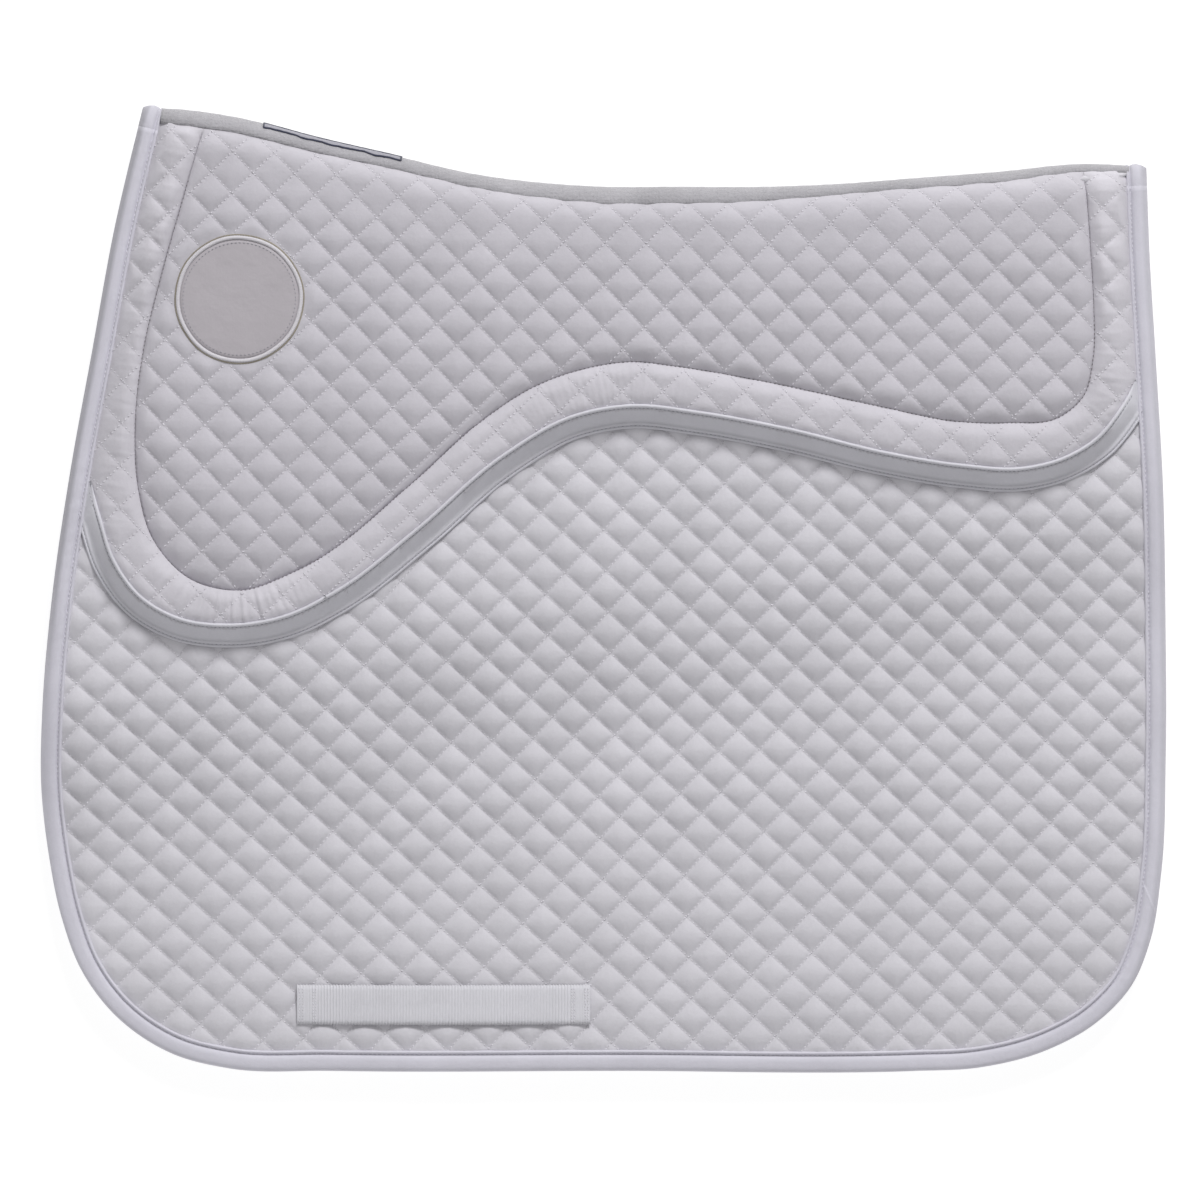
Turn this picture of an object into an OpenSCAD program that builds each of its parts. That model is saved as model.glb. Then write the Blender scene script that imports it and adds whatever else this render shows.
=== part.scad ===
// Folded dressage saddle pad with a sewn-on half-pad.
// The pad lies on its far flap, with the near flap on top. X runs along the spine with the
// front at -X, Y points from the hem to the spine, Z is up. Lengths are in millimetres.

/* [Flap] */
// Thickness of one quilted flap without the half-pad
flap_t = 8; // [6:0.5:10]
// Thickness of the cover and of the lining
cloth_t = 1.5; // [1:0.1:2]
// Gap between the two linings where the flaps lie together
fold_gap = 0.5; // [0.4:0.1:1]
// Width of the edge binding on each face
binding_w = 11; // [8:1:14]
// Thickness of the binding tape
binding_t = 1.2; // [0.8:0.1:1.5]
// How far the lower part of both flaps sinks below the half-pad
drape_drop = 11.5; // [0:0.5:12]

/* [Half-pad] */
// Thickness of the half-pad on top of the flap
pad_t = 14; // [10:1:16]
// Width of the tape round the lower edge of the half-pad
edge_tape_w = 11.5; // [8:0.5:14]
// Radius of the round patch
patch_r = 37.5; // [30:0.5:42]
// Width of the rim sewn round the patch
patch_rim_w = 4; // [2:0.5:5]

/* [Spine] */
// Half of the angle that the spine tape covers on the fold
tape_half_angle = 60; // [45:1:75]
// Thickness of the spine tape
tape_t = 1.2; // [0.8:0.1:1.5]
// Length of the label along the spine
label_l = 91; // [60:1:120]
// Distance of the label from the front of the spine
label_start = 75; // [60:1:100]
// Thickness of the fold at its front and rear end, as a share of the full thickness
end_share = 0.4; // [0.35:0.01:0.6]

/* [Girth keeper] */
// Length of the keeper webbing
keeper_l = 188; // [140:1:200]
// Width of the keeper webbing
keeper_w = 25.4; // [20:0.1:30]
// Thickness of the webbing
webbing_t = 1.6; // [1.2:0.1:1.7]
// Length of the sewn tab at each end
tab_l = 13; // [10:1:18]
// Height of the open loop above the flap
loop_h = 6; // [5:0.5:8]

/* [Hidden] */

white = [0.93, 0.93, 0.95];
warm_white = [0.96, 0.96, 0.97];
foam_color = [0.85, 0.85, 0.78];
tape_color = [0.80, 0.80, 0.84];
binding_color = [0.90, 0.90, 0.95];
patch_color = [0.66, 0.65, 0.67];
label_color = [0.62, 0.65, 0.72];
navy = [0.16, 0.18, 0.30];

near = 1;
far = -1;
clear = 0.2;

// Distances from the middle plane of the folded pad, from the lining out.
lining_in = fold_gap / 2;
foam_in = lining_in + cloth_t + 0.05;
flap_out = lining_in + flap_t;
foam_out = flap_out - cloth_t - 0.05;
pad_in = flap_out + 0.05;
pad_out = flap_out + pad_t;
pad_foam_out = pad_out - cloth_t - 0.05;
mid_z = pad_out;

// The drape: both flaps are level on the spine side of this line and sink beyond it.
drape_origin = [10, 10];
drape_angle = 11.35;
drape_run = 110;
drape_steps = 12;
reach = 600;

// The chord of the spine, from the front peak to the rear peak.
front_peak = [-290, 307];
rear_peak = [344, 268.5];
chord = rear_peak - front_peak;
chord_l = norm(chord);
chord_angle = atan2(chord[1], chord[0]);

// The line where the near flap bends up, parallel to the chord.
crease = -66;
crease_gap = 0.3;

// Edge of a flap, from the front peak round the hem to the rear peak.
edge_keys = [[-294, 305], [-312, 229], [-327, 152], [-341, 75], [-353, -8], [-359, -78],
    [-359, -130], [-354, -174], [-346, -212], [-331, -247], [-305, -276], [-271, -297],
    [-237, -306], [-175, -308], [12, -308], [200, -308], [235, -305], [277, -294],
    [309, -278], [333, -254], [348, -225], [355, -183], [359, -110], [359, -34], [357, 56],
    [352, 146], [348, 213], [347, 268]];

// Lower edge of the half-pad, from the front edge to the rear edge.
pad_keys = [[-342, 72], [-333, 42], [-323, 12], [-303, -15], [-275, -31], [-240, -36],
    [-200, -30], [-163, -12], [-111, 28], [-56, 75], [-15, 98], [18, 104], [58, 100],
    [113, 90], [179, 74], [228, 66], [268, 64], [300, 72], [324, 87], [341, 108], [356, 134]];

// Seam of the quilted inner panel, from the spine at the front round to the spine at the rear.
seam_keys = [[-252, 312], [-266, 255], [-281, 202], [-294, 148], [-299, 96], [-297, 64],
    [-287, 30], [-263, 5], [-233, -2], [-197, 10], [-119, 69], [-79, 105], [-44, 128],
    [-10, 140], [18, 144], [47, 141], [100, 132], [179, 115], [225, 106], [260, 105],
    [290, 108], [306, 121], [313, 148], [313, 180], [311, 215], [306, 280]];

// Line of the fold seen from above, as distance along the chord and height over it.
fold_keys = [[0, 0], [58, -5], [110, -15], [160, -23], [210, -31], [262, -34], [290, -34],
    [341, -31], [392, -28], [443, -23], [494, -16], [545, -9], [596, -1], [635, 0]];

front_slant = 0.18;
rear_slant = -0.08;
end_run = 40;
arc_step = 15;

keeper_center = [-102, -267];
patch_center = [-232, 184];
patch_t = 0.8;
rim_t = 1.6;
thread_r = 0.35;

// ---- curves ----

function knot_gap(a, b) = max(norm(b - a), 0.001);

function tangent(p0, p1, p2) =
    let (a = knot_gap(p0, p1), b = knot_gap(p1, p2))
    (p1 - p0) / a - (p2 - p0) / (a + b) + (p2 - p1) / b;

// One point of a smooth curve through k, between key i and key i + 1.
function curve_point(k, i, t) =
    let (n = len(k) - 1,
        p1 = k[i],
        p2 = k[i + 1],
        p0 = i > 0 ? k[i - 1] : 2 * p1 - p2,
        p3 = i + 2 <= n ? k[i + 2] : 2 * p2 - p1,
        d = knot_gap(p1, p2),
        m1 = tangent(p0, p1, p2) * d,
        m2 = tangent(p1, p2, p3) * d,
        t2 = t * t,
        t3 = t2 * t)
    (2 * t3 - 3 * t2 + 1) * p1 + (t3 - 2 * t2 + t) * m1
        + (3 * t2 - 2 * t3) * p2 + (t3 - t2) * m2;

// A smooth curve through the keys, with a point about every step millimetres.
function curve(k, step = 16) =
    concat([for (i = [0 : len(k) - 2])
        let (n = max(1, ceil(knot_gap(k[i], k[i + 1]) / step)))
        for (j = [0 : n - 1]) curve_point(k, i, j / n)], [k[len(k) - 1]]);

function unit(v) = v / max(norm(v), 0.001);

// The curve moved sideways by d, to the left of its direction.
function shifted(c, d) =
    [for (i = [0 : len(c) - 1])
        let (a = c[max(i - 1, 0)], b = c[min(i + 1, len(c) - 1)], u = unit(b - a))
        c[i] + d * [-u[1], u[0]]];

edge = curve(edge_keys);
pad_edge = curve(pad_keys, 14);
seam = curve(seam_keys, 14);
fold = curve(fold_keys, 36);

function smooth(t) = let (s = min(max(t, 0), 1)) s * s * (3 - 2 * s);
function drop(w) = drape_drop * smooth(-w / drape_run);

// ---- flat outlines ----

module in_chord_frame() {
    translate(front_peak) rotate(chord_angle) children();
}

// The part of the plane that belongs to the flaps, below the crease.
module flap_side() {
    in_chord_frame() translate([-reach, crease - crease_gap / 2 - 2 * reach])
        square([3 * reach, 2 * reach]);
}

module flap_outline(inset) {
    polygon(shifted(edge, inset));
}

module half_pad_outline(inset) {
    polygon(concat(shifted(pad_edge, inset), [[356, 400], [-342, 400]]));
}

module panel_outline(inset) {
    polygon(shifted(seam, inset));
}

// ---- solids ----

// A layer between distances d0 and d1 from the middle plane, level over the half-pad and
// sinking beyond it, cut to the outline given as its child.
module draped_layer(side, d0, d1) {
    lo = mid_z + min(side * d0, side * d1);
    hi = mid_z + max(side * d0, side * d1);
    steps = concat([-reach], [for (i = [0 : drape_steps]) -drape_run * (1 - i / drape_steps)],
        [reach]);
    profile = concat([for (w = steps) [w, hi - drop(w)]],
        [for (i = [len(steps) - 1 : -1 : 0]) [steps[i], lo - drop(steps[i])]]);
    intersection() {
        linear_extrude(3 * mid_z) intersection() {
            children();
            flap_side();
        }
        translate([drape_origin[0], drape_origin[1], 0]) rotate([0, 0, drape_angle + 90])
            rotate([90, 0, 0]) translate([0, 0, -reach]) linear_extrude(2 * reach)
            polygon(profile);
    }
}

// A level layer of the half-pad.
module level_layer(side, d0, d1) {
    z0 = mid_z + min(side * d0, side * d1);
    translate([0, 0, z0]) linear_extrude(abs(d1 - d0)) intersection() {
        children();
        flap_side();
    }
}

module flap_cover(side) {
    draped_layer(side, foam_out + 0.05, flap_out) flap_outline(binding_w + clear);
}

module flap_foam(side) {
    draped_layer(side, foam_in, foam_out) flap_outline(binding_t + clear);
}

module flap_lining(side) {
    draped_layer(side, lining_in, foam_in - 0.05) flap_outline(binding_w + clear);
}

// The binding is a tape folded over the edge, so it is a U in section.
module flap_binding(side) {
    difference() {
        draped_layer(side, lining_in, flap_out) difference() {
            flap_outline(0);
            flap_outline(binding_w);
        }
        draped_layer(side, lining_in + binding_t, flap_out - binding_t)
            flap_outline(binding_t);
    }
}

module half_pad_panel(side) {
    level_layer(side, pad_foam_out + 0.05, pad_out) panel_outline(clear);
}

module half_pad_border(side) {
    level_layer(side, pad_foam_out + 0.05, pad_out) difference() {
        intersection() {
            half_pad_outline(edge_tape_w + clear);
            flap_outline(binding_w + clear);
        }
        panel_outline(-clear);
    }
}

module half_pad_foam(side) {
    level_layer(side, pad_in, pad_foam_out) intersection() {
        half_pad_outline(cloth_t + clear);
        flap_outline(binding_w + clear);
    }
}

// The tape covers the wall of the half-pad and turns over onto its top.
module half_pad_tape(side) {
    difference() {
        level_layer(side, pad_in, pad_out) difference() {
            intersection() {
                half_pad_outline(0);
                flap_outline(binding_w + clear);
            }
            half_pad_outline(edge_tape_w);
        }
        level_layer(side, pad_in - 1, pad_foam_out + 0.05) half_pad_outline(cloth_t);
    }
}

module patch(t, r_in, r_out) {
    translate([patch_center[0], patch_center[1], mid_z + pad_out]) difference() {
        cylinder(h = t, r = r_out, $fn = 96);
        if (r_in > 0) translate([0, 0, -1]) cylinder(h = t + 2, r = r_in, $fn = 96);
    }
}

// Webbing seen from the side: two tabs on the flap and a raised loop between them.
module webbing_profile(lift) {
    half = keeper_l / 2;
    rise = 22;
    xs = [0, tab_l, tab_l + rise * 0.25, tab_l + rise * 0.5, tab_l + rise * 0.75,
        tab_l + rise];
    under = [for (x = xs) [x - half, lift * smooth((x - tab_l) / rise)]];
    left = concat(under, [for (i = [len(under) - 1 : -1 : 0]) [-under[i][0], under[i][1]]]);
    top = [for (i = [len(left) - 1 : -1 : 0]) [left[i][0], left[i][1] + webbing_t]];
    polygon(concat(left, top));
}

low_near_z = mid_z + flap_out - drape_drop;
low_far_z = mid_z - flap_out - drape_drop;

module keeper_webbing(z, lift) {
    translate([keeper_center[0], keeper_center[1] + keeper_w / 2, z]) rotate([90, 0, 0])
        linear_extrude(keeper_w) webbing_profile(lift);
}

// Two rows of short stitches across each tab.
module keeper_stitches(z, length, pitch) {
    count = floor((keeper_w - 4) / pitch);
    for (end = [-1, 1], row = [3, tab_l - 3], i = [0 : count])
        translate([keeper_center[0] + end * (keeper_l / 2 - row),
            keeper_center[1] + (i - count / 2) * pitch - length / 2, z])
            rotate([-90, 0, 0]) cylinder(h = length, r = thread_r, $fn = 16);
}

// ---- the fold along the spine ----

// Share of the full thickness at station u: the fold is pressed thin at both ends.
function share(u) = end_share + (1 - end_share)
    * smooth(min(u, chord_l - u) / end_run);

function fold_y(u) =
    let (i = max([for (j = [0 : len(fold) - 2]) fold[j][0] <= u ? j : 0]),
        a = fold[i],
        b = fold[i + 1])
    a[1] + (b[1] - a[1]) * (u - a[0]) / (b[0] - a[0]);

// A point at radius r and at angle a round the fold, seen in the chord frame.
function fold_point(u, r, a) =
    let (s = share(u),
        y = fold_y(u) - pad_out * s + r * s * cos(a),
        slant = front_slant + (rear_slant - front_slant) * u / chord_l)
    [u + slant * y, y, mid_z + r * s * sin(a)];

// A point of the level leg that joins the fold to the crease, on one side.
function leg_point(u, r, side) =
    let (s = share(u),
        y = crease + crease_gap / 2,
        slant = front_slant + (rear_slant - front_slant) * u / chord_l)
    [u + slant * y, y, mid_z + side * r * s];

// Cross-section at station u, from radius r0 out to r1, with a leg at each end if asked.
function fold_section(u, r0, r1, a0, a1, legs) =
    let (n = max(1, round((a1 - a0) / arc_step)),
        arc = [for (i = [0 : n]) a0 + (a1 - a0) * i / n],
        outer = [for (a = arc) fold_point(u, r1, a)],
        inner = [for (i = [n : -1 : 0]) fold_point(u, r0, arc[i])])
    legs ? concat([leg_point(u, r1, -1)], outer, [leg_point(u, r1, 1), leg_point(u, r0, 1)],
            inner, [leg_point(u, r0, -1)])
        : concat(outer, inner);

// Every layer of the fold has its sections at the same stations, so that none cuts another.
function common_stations() =
    concat(end_stations,
        [for (p = fold) if (p[0] > end_run + 10 && p[0] < chord_l - end_run - 10) p[0]],
        [for (i = [len(end_stations) - 1 : -1 : 0]) fold_end + fold_start - end_stations[i]]);

function stations(u0, u1) =
    concat([u0], [for (u = common_stations()) if (u > u0 + 0.1 && u < u1 - 0.1) u], [u1]);

// A solid swept along the fold from station u0 to u1.
module fold_sweep(u0, u1, r0, r1, a0 = -90, a1 = 90, legs = true) {
    us = stations(u0, u1);
    rings = [for (u = us) fold_section(u, r0, r1, a0, a1, legs)];
    n = len(rings[0]);
    m = len(rings);
    sides = [for (i = [0 : m - 2], j = [0 : n - 1])
        let (a = i * n + j, b = i * n + (j + 1) % n)
        each [[a, b + n, b], [a, a + n, b + n]]];
    first = [for (j = [0 : n / 2 - 2])
        each [[j, j + 1, n - 1 - j], [j + 1, n - 2 - j, n - 1 - j]]];
    last = [for (f = first) [for (k = [2, 1, 0]) (m - 1) * n + f[k]]];
    translate([front_peak[0], front_peak[1], 0]) rotate([0, 0, chord_angle])
        polyhedron(points = [for (r = rings, p = r) p], faces = concat(first, sides, last),
            convexity = 6);
}

fold_start = -3;
fold_end = chord_l + 2;
foam_start = fold_start + 1.5;
foam_end = fold_end - 1.5;
inner_start = fold_start + binding_w + clear;
inner_end = fold_end - binding_w - clear;
end_stations = [fold_start, foam_start, inner_start, 15, 22, 30, 38];
under_tape = pad_out - tape_t - 0.05;

module binding_end(u0, u1) {
    fold_sweep(u0, u1, flap_out * 1.7, pad_out);
}

module label_band(u0, u1, a0, a1, r0, r1) {
    fold_sweep(u0, u1, r0, r1, a0, a1, false);
}

label_end = label_start + label_l;
label_half_angle = 37.5;
label_r = pad_out + 0.25;
label_t = 0.6;
// The label's stitching: its width along the spine, its width round the fold, the gap that
// keeps its flat facets off the label, and its thickness.
stitch_band = 1.6;
stitch_angle = 4;
stitch_in = label_r + label_t + 0.3;
stitch_out = stitch_in + 0.55;

// ---- sub-parts ----

module near_cover() { color(white) flap_cover(near); }
module near_foam() { color(foam_color) flap_foam(near); }
module near_lining() { color(warm_white) flap_lining(near); }
module near_binding() { color(binding_color) flap_binding(near); }
module near_half_pad_panel() { color(white) half_pad_panel(near); }
module near_half_pad_border() { color(warm_white) half_pad_border(near); }
module near_half_pad_foam() { color(foam_color) half_pad_foam(near); }
module near_half_pad_tape() { color(tape_color) half_pad_tape(near); }
module near_patch() { color(patch_color) patch(patch_t, 0, patch_r); }
module near_patch_rim() {
    color(warm_white) patch(rim_t, patch_r + 0.05, patch_r + patch_rim_w);
}
module near_girth_keeper() { color(white) keeper_webbing(low_near_z, loop_h); }
module near_keeper_stitching() {
    color(warm_white) keeper_stitches(low_near_z + webbing_t + thread_r, 2, 2.8);
}

module far_cover() { color(white) flap_cover(far); }
module far_foam() { color(foam_color) flap_foam(far); }
module far_lining() { color(warm_white) flap_lining(far); }
module far_binding() { color(binding_color) flap_binding(far); }
module far_half_pad_panel() { color(white) half_pad_panel(far); }
module far_half_pad_border() { color(warm_white) half_pad_border(far); }
module far_half_pad_foam() { color(foam_color) half_pad_foam(far); }
module far_half_pad_tape() { color(tape_color) half_pad_tape(far); }
// The far keeper is pressed flat between the flap and what the pad lies on.
module far_girth_keeper() { color(white) keeper_webbing(low_far_z - webbing_t, 0); }
module far_keeper_stitching() {
    color(warm_white) keeper_stitches(low_far_z - webbing_t - thread_r, 2, 2.8);
}

module spine_cover() {
    color(white) fold_sweep(inner_start, inner_end, foam_out + 0.05, flap_out);
}
module spine_foam() {
    color(foam_color) fold_sweep(foam_start, foam_end, foam_in, foam_out);
}
module spine_lining() {
    color(warm_white) fold_sweep(inner_start, inner_end, lining_in, foam_in - 0.05);
}
module spine_half_pad_cover() {
    color(white) fold_sweep(inner_start, inner_end, under_tape - cloth_t, under_tape);
}
module spine_half_pad_foam() {
    color(foam_color) fold_sweep(inner_start, inner_end, pad_in, under_tape - cloth_t - 0.05);
}
module spine_front_binding() {
    color(binding_color) binding_end(fold_start, fold_start + binding_w);
}
module spine_rear_binding() {
    color(binding_color) binding_end(fold_end - binding_w, fold_end);
}
module spine_tape() {
    color(tape_color) fold_sweep(inner_start, inner_end, pad_out - tape_t, pad_out,
        -tape_half_angle, tape_half_angle, false);
}
module spine_label() {
    color(label_color) label_band(label_start, label_end, -label_half_angle,
        label_half_angle, label_r, label_r + label_t);
}
module spine_label_stitching() {
    color(navy) {
        for (side = [-1, 1])
            label_band(label_start, label_end,
                side > 0 ? label_half_angle - stitch_angle : -label_half_angle,
                side > 0 ? label_half_angle : -label_half_angle + stitch_angle,
                stitch_in, stitch_out);
        for (u = [label_start, label_end - stitch_band])
            label_band(u, u + stitch_band, -label_half_angle + stitch_angle + 0.5,
                label_half_angle - stitch_angle - 0.5, stitch_in, stitch_out);
    }
}

near_cover();
near_foam();
near_lining();
near_binding();
near_half_pad_panel();
near_half_pad_border();
near_half_pad_foam();
near_half_pad_tape();
near_patch();
near_patch_rim();
near_girth_keeper();
near_keeper_stitching();
far_cover();
far_foam();
far_lining();
far_binding();
far_half_pad_panel();
far_half_pad_border();
far_half_pad_foam();
far_half_pad_tape();
far_girth_keeper();
far_keeper_stitching();
spine_cover();
spine_foam();
spine_lining();
spine_half_pad_cover();
spine_half_pad_foam();
spine_front_binding();
spine_rear_binding();
spine_tape();
spine_label();
spine_label_stitching();
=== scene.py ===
"""Looks of the folded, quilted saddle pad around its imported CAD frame.

The pad lies on its far flap. Everything is worked out in millimetres in the frame of the CAD
model: X runs along the spine, Y from the hem to the spine, Z up. A layer of a flap is a height
over the middle plane of the fold, so the near and the far flap are made by the same functions.
"""
from collections import namedtuple
import math

import bpy
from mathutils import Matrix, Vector
import numpy as np


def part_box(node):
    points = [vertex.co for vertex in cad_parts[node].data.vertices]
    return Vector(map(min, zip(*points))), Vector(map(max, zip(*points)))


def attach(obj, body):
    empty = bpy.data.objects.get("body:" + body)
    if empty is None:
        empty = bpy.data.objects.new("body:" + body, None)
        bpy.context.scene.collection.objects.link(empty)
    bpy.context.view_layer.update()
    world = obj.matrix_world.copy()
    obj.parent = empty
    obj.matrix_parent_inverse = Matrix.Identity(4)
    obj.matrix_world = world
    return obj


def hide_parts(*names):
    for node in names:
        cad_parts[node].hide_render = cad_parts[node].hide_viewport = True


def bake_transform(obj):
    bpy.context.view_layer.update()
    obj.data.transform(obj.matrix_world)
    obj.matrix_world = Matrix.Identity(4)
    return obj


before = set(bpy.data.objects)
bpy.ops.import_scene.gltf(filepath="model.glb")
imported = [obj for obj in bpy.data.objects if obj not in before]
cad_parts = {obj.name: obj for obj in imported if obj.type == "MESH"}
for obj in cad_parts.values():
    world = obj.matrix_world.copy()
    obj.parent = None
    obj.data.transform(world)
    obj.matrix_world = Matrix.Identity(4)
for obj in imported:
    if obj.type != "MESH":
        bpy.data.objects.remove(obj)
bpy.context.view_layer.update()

# ---------------- sizes from the frame


def box_mm(node):
    """Lowest and highest corner of a CAD node in millimetres."""
    low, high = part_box(node)
    return np.array(low) * 1000, np.array(high) * 1000


def middle_and_half(node):
    """Middle and half size of a CAD node along X and Y."""
    low, high = box_mm(node)
    return (low[:2] + high[:2]) / 2, (high[:2] - low[:2]) / 2


PAD_TOP = box_mm("near_half_pad_panel")[1][2]
MID = PAD_TOP / 2
PAD_OUT = PAD_TOP - MID
FLAP_OUT = box_mm("near_cover")[1][2] - MID
DROP = MID + FLAP_OUT - box_mm("near_girth_keeper")[0][2]
PATCH_CENTER, (PATCH_R, _) = middle_and_half("near_patch")
RIM_R = middle_and_half("near_patch_rim")[1][0]
KEEPER_CENTER, KEEPER_HALF = middle_and_half("near_girth_keeper")

# ---------------- sizes of the cloth

BINDING_W = 11.0
EDGE_TAPE_W = 11.5
SPINE_TAPE_THICK = 2.3
STITCH_PITCH = 3.1
# The half-pad's thickness at the front and rear edge, as a share of its full thickness.
THINNEST = 0.40
# Distances from the middle plane: stitched lines of a flap and of its lining, a flap's cloth
# under the half-pad and under the binding, and the half-pad by itself, under the spine tape
# and under the patch.
FLAP_LEVEL = 6.0
LINING_LEVEL = 1.7
UNDER_PAD = 7.2
UNDER_BINDING = 6.4
HALF_PAD_LEVEL = 20.3
UNDER_SPINE_TAPE = 21.5
PATCH_LEVEL = 21.7
# How far the stuffed diamonds rise over the stitched lines.
FLAP_PUFF = 3.7
LINING_PUFF = 1.35
PANEL_PUFF = 2.8
BORDER_PUFF = 1.4
UPRIGHT_BORDER_PUFF = 2.7
# Both flaps sink towards the ground below a slanting line through this point.
DRAPE_ORIGIN = np.array([10.0, 10.0])
DRAPE_ANGLE = math.radians(11.35)
DRAPE_RUN = 110.0
# The fold is described from the chord between its peaks: u along it and v across it.
FRONT_PEAK = np.array([-290.0, 307.0])
REAR_PEAK = np.array([344.0, 268.5])
CHORD = REAR_PEAK - FRONT_PEAK
CHORD_L = float(np.linalg.norm(CHORD))
CHORD_U = CHORD / CHORD_L
CHORD_V = np.array([-CHORD_U[1], CHORD_U[0]])

# Outer edge of the flap, lower edge of the half-pad, seam of its panel, line of the fold.
EDGE_KEYS = [(-295, 306), (-313, 229), (-327, 152), (-341, 75), (-353, -8), (-359, -78),
             (-360, -130), (-355, -174), (-347, -212), (-334, -246), (-311, -276), (-276, -299),
             (-239, -308.5), (-175, -310), (12, -310), (200, -310), (240, -308), (285, -296.5),
             (317, -278.5), (339, -255), (351, -226), (358, -183), (361, -110), (361, -34),
             (359, 56), (354, 146), (350, 213), (348, 268)]
PAD_KEYS = [(-342, 72), (-333, 42), (-323, 12), (-303, -15), (-275, -31), (-240, -36),
            (-200, -30), (-163, -12), (-111, 28), (-56, 75), (-15, 98), (18, 104), (58, 100),
            (113, 90), (179, 74), (228, 66), (268, 64), (300, 72), (324, 87), (341, 108),
            (356, 134)]
SEAM_KEYS = [(-245, 340), (-255, 294), (-266, 255), (-281, 202), (-294, 148), (-299, 96),
             (-297, 64), (-287, 30), (-263, 5), (-233, -2), (-197, 10), (-119, 69), (-79, 105),
             (-44, 128), (-10, 140), (18, 144), (47, 141), (100, 132), (179, 115), (225, 106),
             (260, 105), (290, 108), (306, 121), (313, 148), (313, 180), (311, 215),
             (306, 280), (300, 340)]
FOLD_KEYS = [(-8, 0), (58, -5), (110, -15), (160, -23), (210, -31), (262, -34), (290, -34),
             (341, -31), (392, -28), (443, -23), (494, -16), (545, -9), (596, -1), (643, 0)]
# How much of the spine tape shows from above, along the chord.
TAPE_SHOW_KEYS = [(-8, 9), (60, 8.4), (190, 7.4), (245, 8.8), (297, 10.6), (355, 10.2),
                  (455, 6), (545, 6), (600, 4), (643, 3)]
# Corners beyond the spine that close a line across the pad to a ring.
BEYOND_SPINE = [[356, 500], [-342, 500]]
# Corners of a rectangle of the plane round the whole pad.
PLANE = np.array([[-420, -340], [420, -340], [420, 380], [-420, 380]], float)


def flap_drift(p):
    """How far the two families of lines of the flap stray, in cells."""
    x, y = p[..., 0] / 250, p[..., 1] / 250
    return 0.03 + 0.10 * (x - 0.24) ** 2, 0.08 * x ** 2 - 0.075 * y + 0.005


def pad_drift(p):
    """The same for the half-pad."""
    x = p[..., 0]
    t = np.clip((x + 20) / 180, 0, 1)
    return 0 * x + 0.02, 0.12 - 0.19 * t * t * (3 - 2 * t)


# Quilting is two families of parallel lines, each with the angle of its normal in degrees, its
# pitch and its phase, and a function that says how far they stray from straight.
Lines = namedtuple("Lines", "angle pitch phase")
Quilt = namedtuple("Quilt", "first second drift")
FLAP_QUILT = Quilt(Lines(47.7, 18.42, 0.475), Lines(137.64, 18.60, 0.688), flap_drift)
PAD_QUILT = Quilt(Lines(43.3, 18.95, 0.98), Lines(134.0, 18.85, 0.56), pad_drift)
# Where the grid lines of a cell lie, closer together next to the stitched lines.
FINE = (0.0, 0.07, 0.21, 0.40, 0.60, 0.79, 0.93)
COARSE = (0.0, 0.12, 0.37, 0.63, 0.88)
PANEL_STEPS = (0.0, 0.05, 0.14, 0.25, 0.37, 0.50, 0.63, 0.75, 0.86, 0.95)
BORDER_STEPS = tuple(k / 14 for k in range(14))

NEAR, FAR = 1, -1
FLOOR_GAP = 0.05
NOISE_CELLS = 64
rng = np.random.default_rng(7)
CELL_NOISE = rng.random((NOISE_CELLS, NOISE_CELLS))
WAVES = rng.random((24, 3))

# ---------------- curves in the plane


def unit(v):
    return v / np.maximum(np.linalg.norm(v, axis=-1, keepdims=True), 1e-9)


def smooth(t):
    """Rises gently from 0 to 1 while t does."""
    t = np.clip(t, 0, 1)
    return t * t * (3 - 2 * t)


def swell(t, power=2.2):
    """Rises fast from 0 and flattens out at 1."""
    return 1 - (1 - np.clip(t, 0, 1)) ** power


def bell(t):
    """Is 1 at 0 and fades away on both sides."""
    return np.exp(-t ** 2)


def curve(keys, step):
    """A smooth curve through the keys with a point about every step."""
    k = np.array(keys, float)
    k = np.vstack([2 * k[0] - k[1], k, 2 * k[-1] - k[-2]])
    points = []
    for p0, p1, p2, p3 in zip(k[:-3], k[1:-2], k[2:-1], k[3:]):
        a, b, c = (np.linalg.norm(q - p) for p, q in ((p0, p1), (p1, p2), (p2, p3)))
        m1 = ((p1 - p0) / a - (p2 - p0) / (a + b) + (p2 - p1) / b) * b
        m2 = ((p2 - p1) / b - (p3 - p1) / (b + c) + (p3 - p2) / c) * b
        t = np.linspace(0, 1, max(2, int(b / step) + 1), endpoint=False)[:, None]
        points.append((2 * t ** 3 - 3 * t ** 2 + 1) * p1 + (t ** 3 - 2 * t ** 2 + t) * m1
                      + (3 * t ** 2 - 2 * t ** 3) * p2 + (t ** 3 - t ** 2) * m2)
    points.append(k[-2:-1])
    return np.vstack(points)


def lengths(c):
    """How far along the curve each of its points is."""
    return np.concatenate([[0], np.cumsum(np.linalg.norm(np.diff(c, axis=0), axis=1))])


def at_lengths(c, s):
    """Points of the curve at the given distances along it."""
    own = lengths(c)
    return np.column_stack([np.interp(s, own, column) for column in c.T])


def left_normals(c):
    """Directions across the curve, to its left."""
    d = np.gradient(c, axis=0)
    return unit(np.column_stack([-d[:, 1], d[:, 0]]))


def shifted(c, d):
    """The curve moved to its left."""
    return c + left_normals(c) * d


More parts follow.
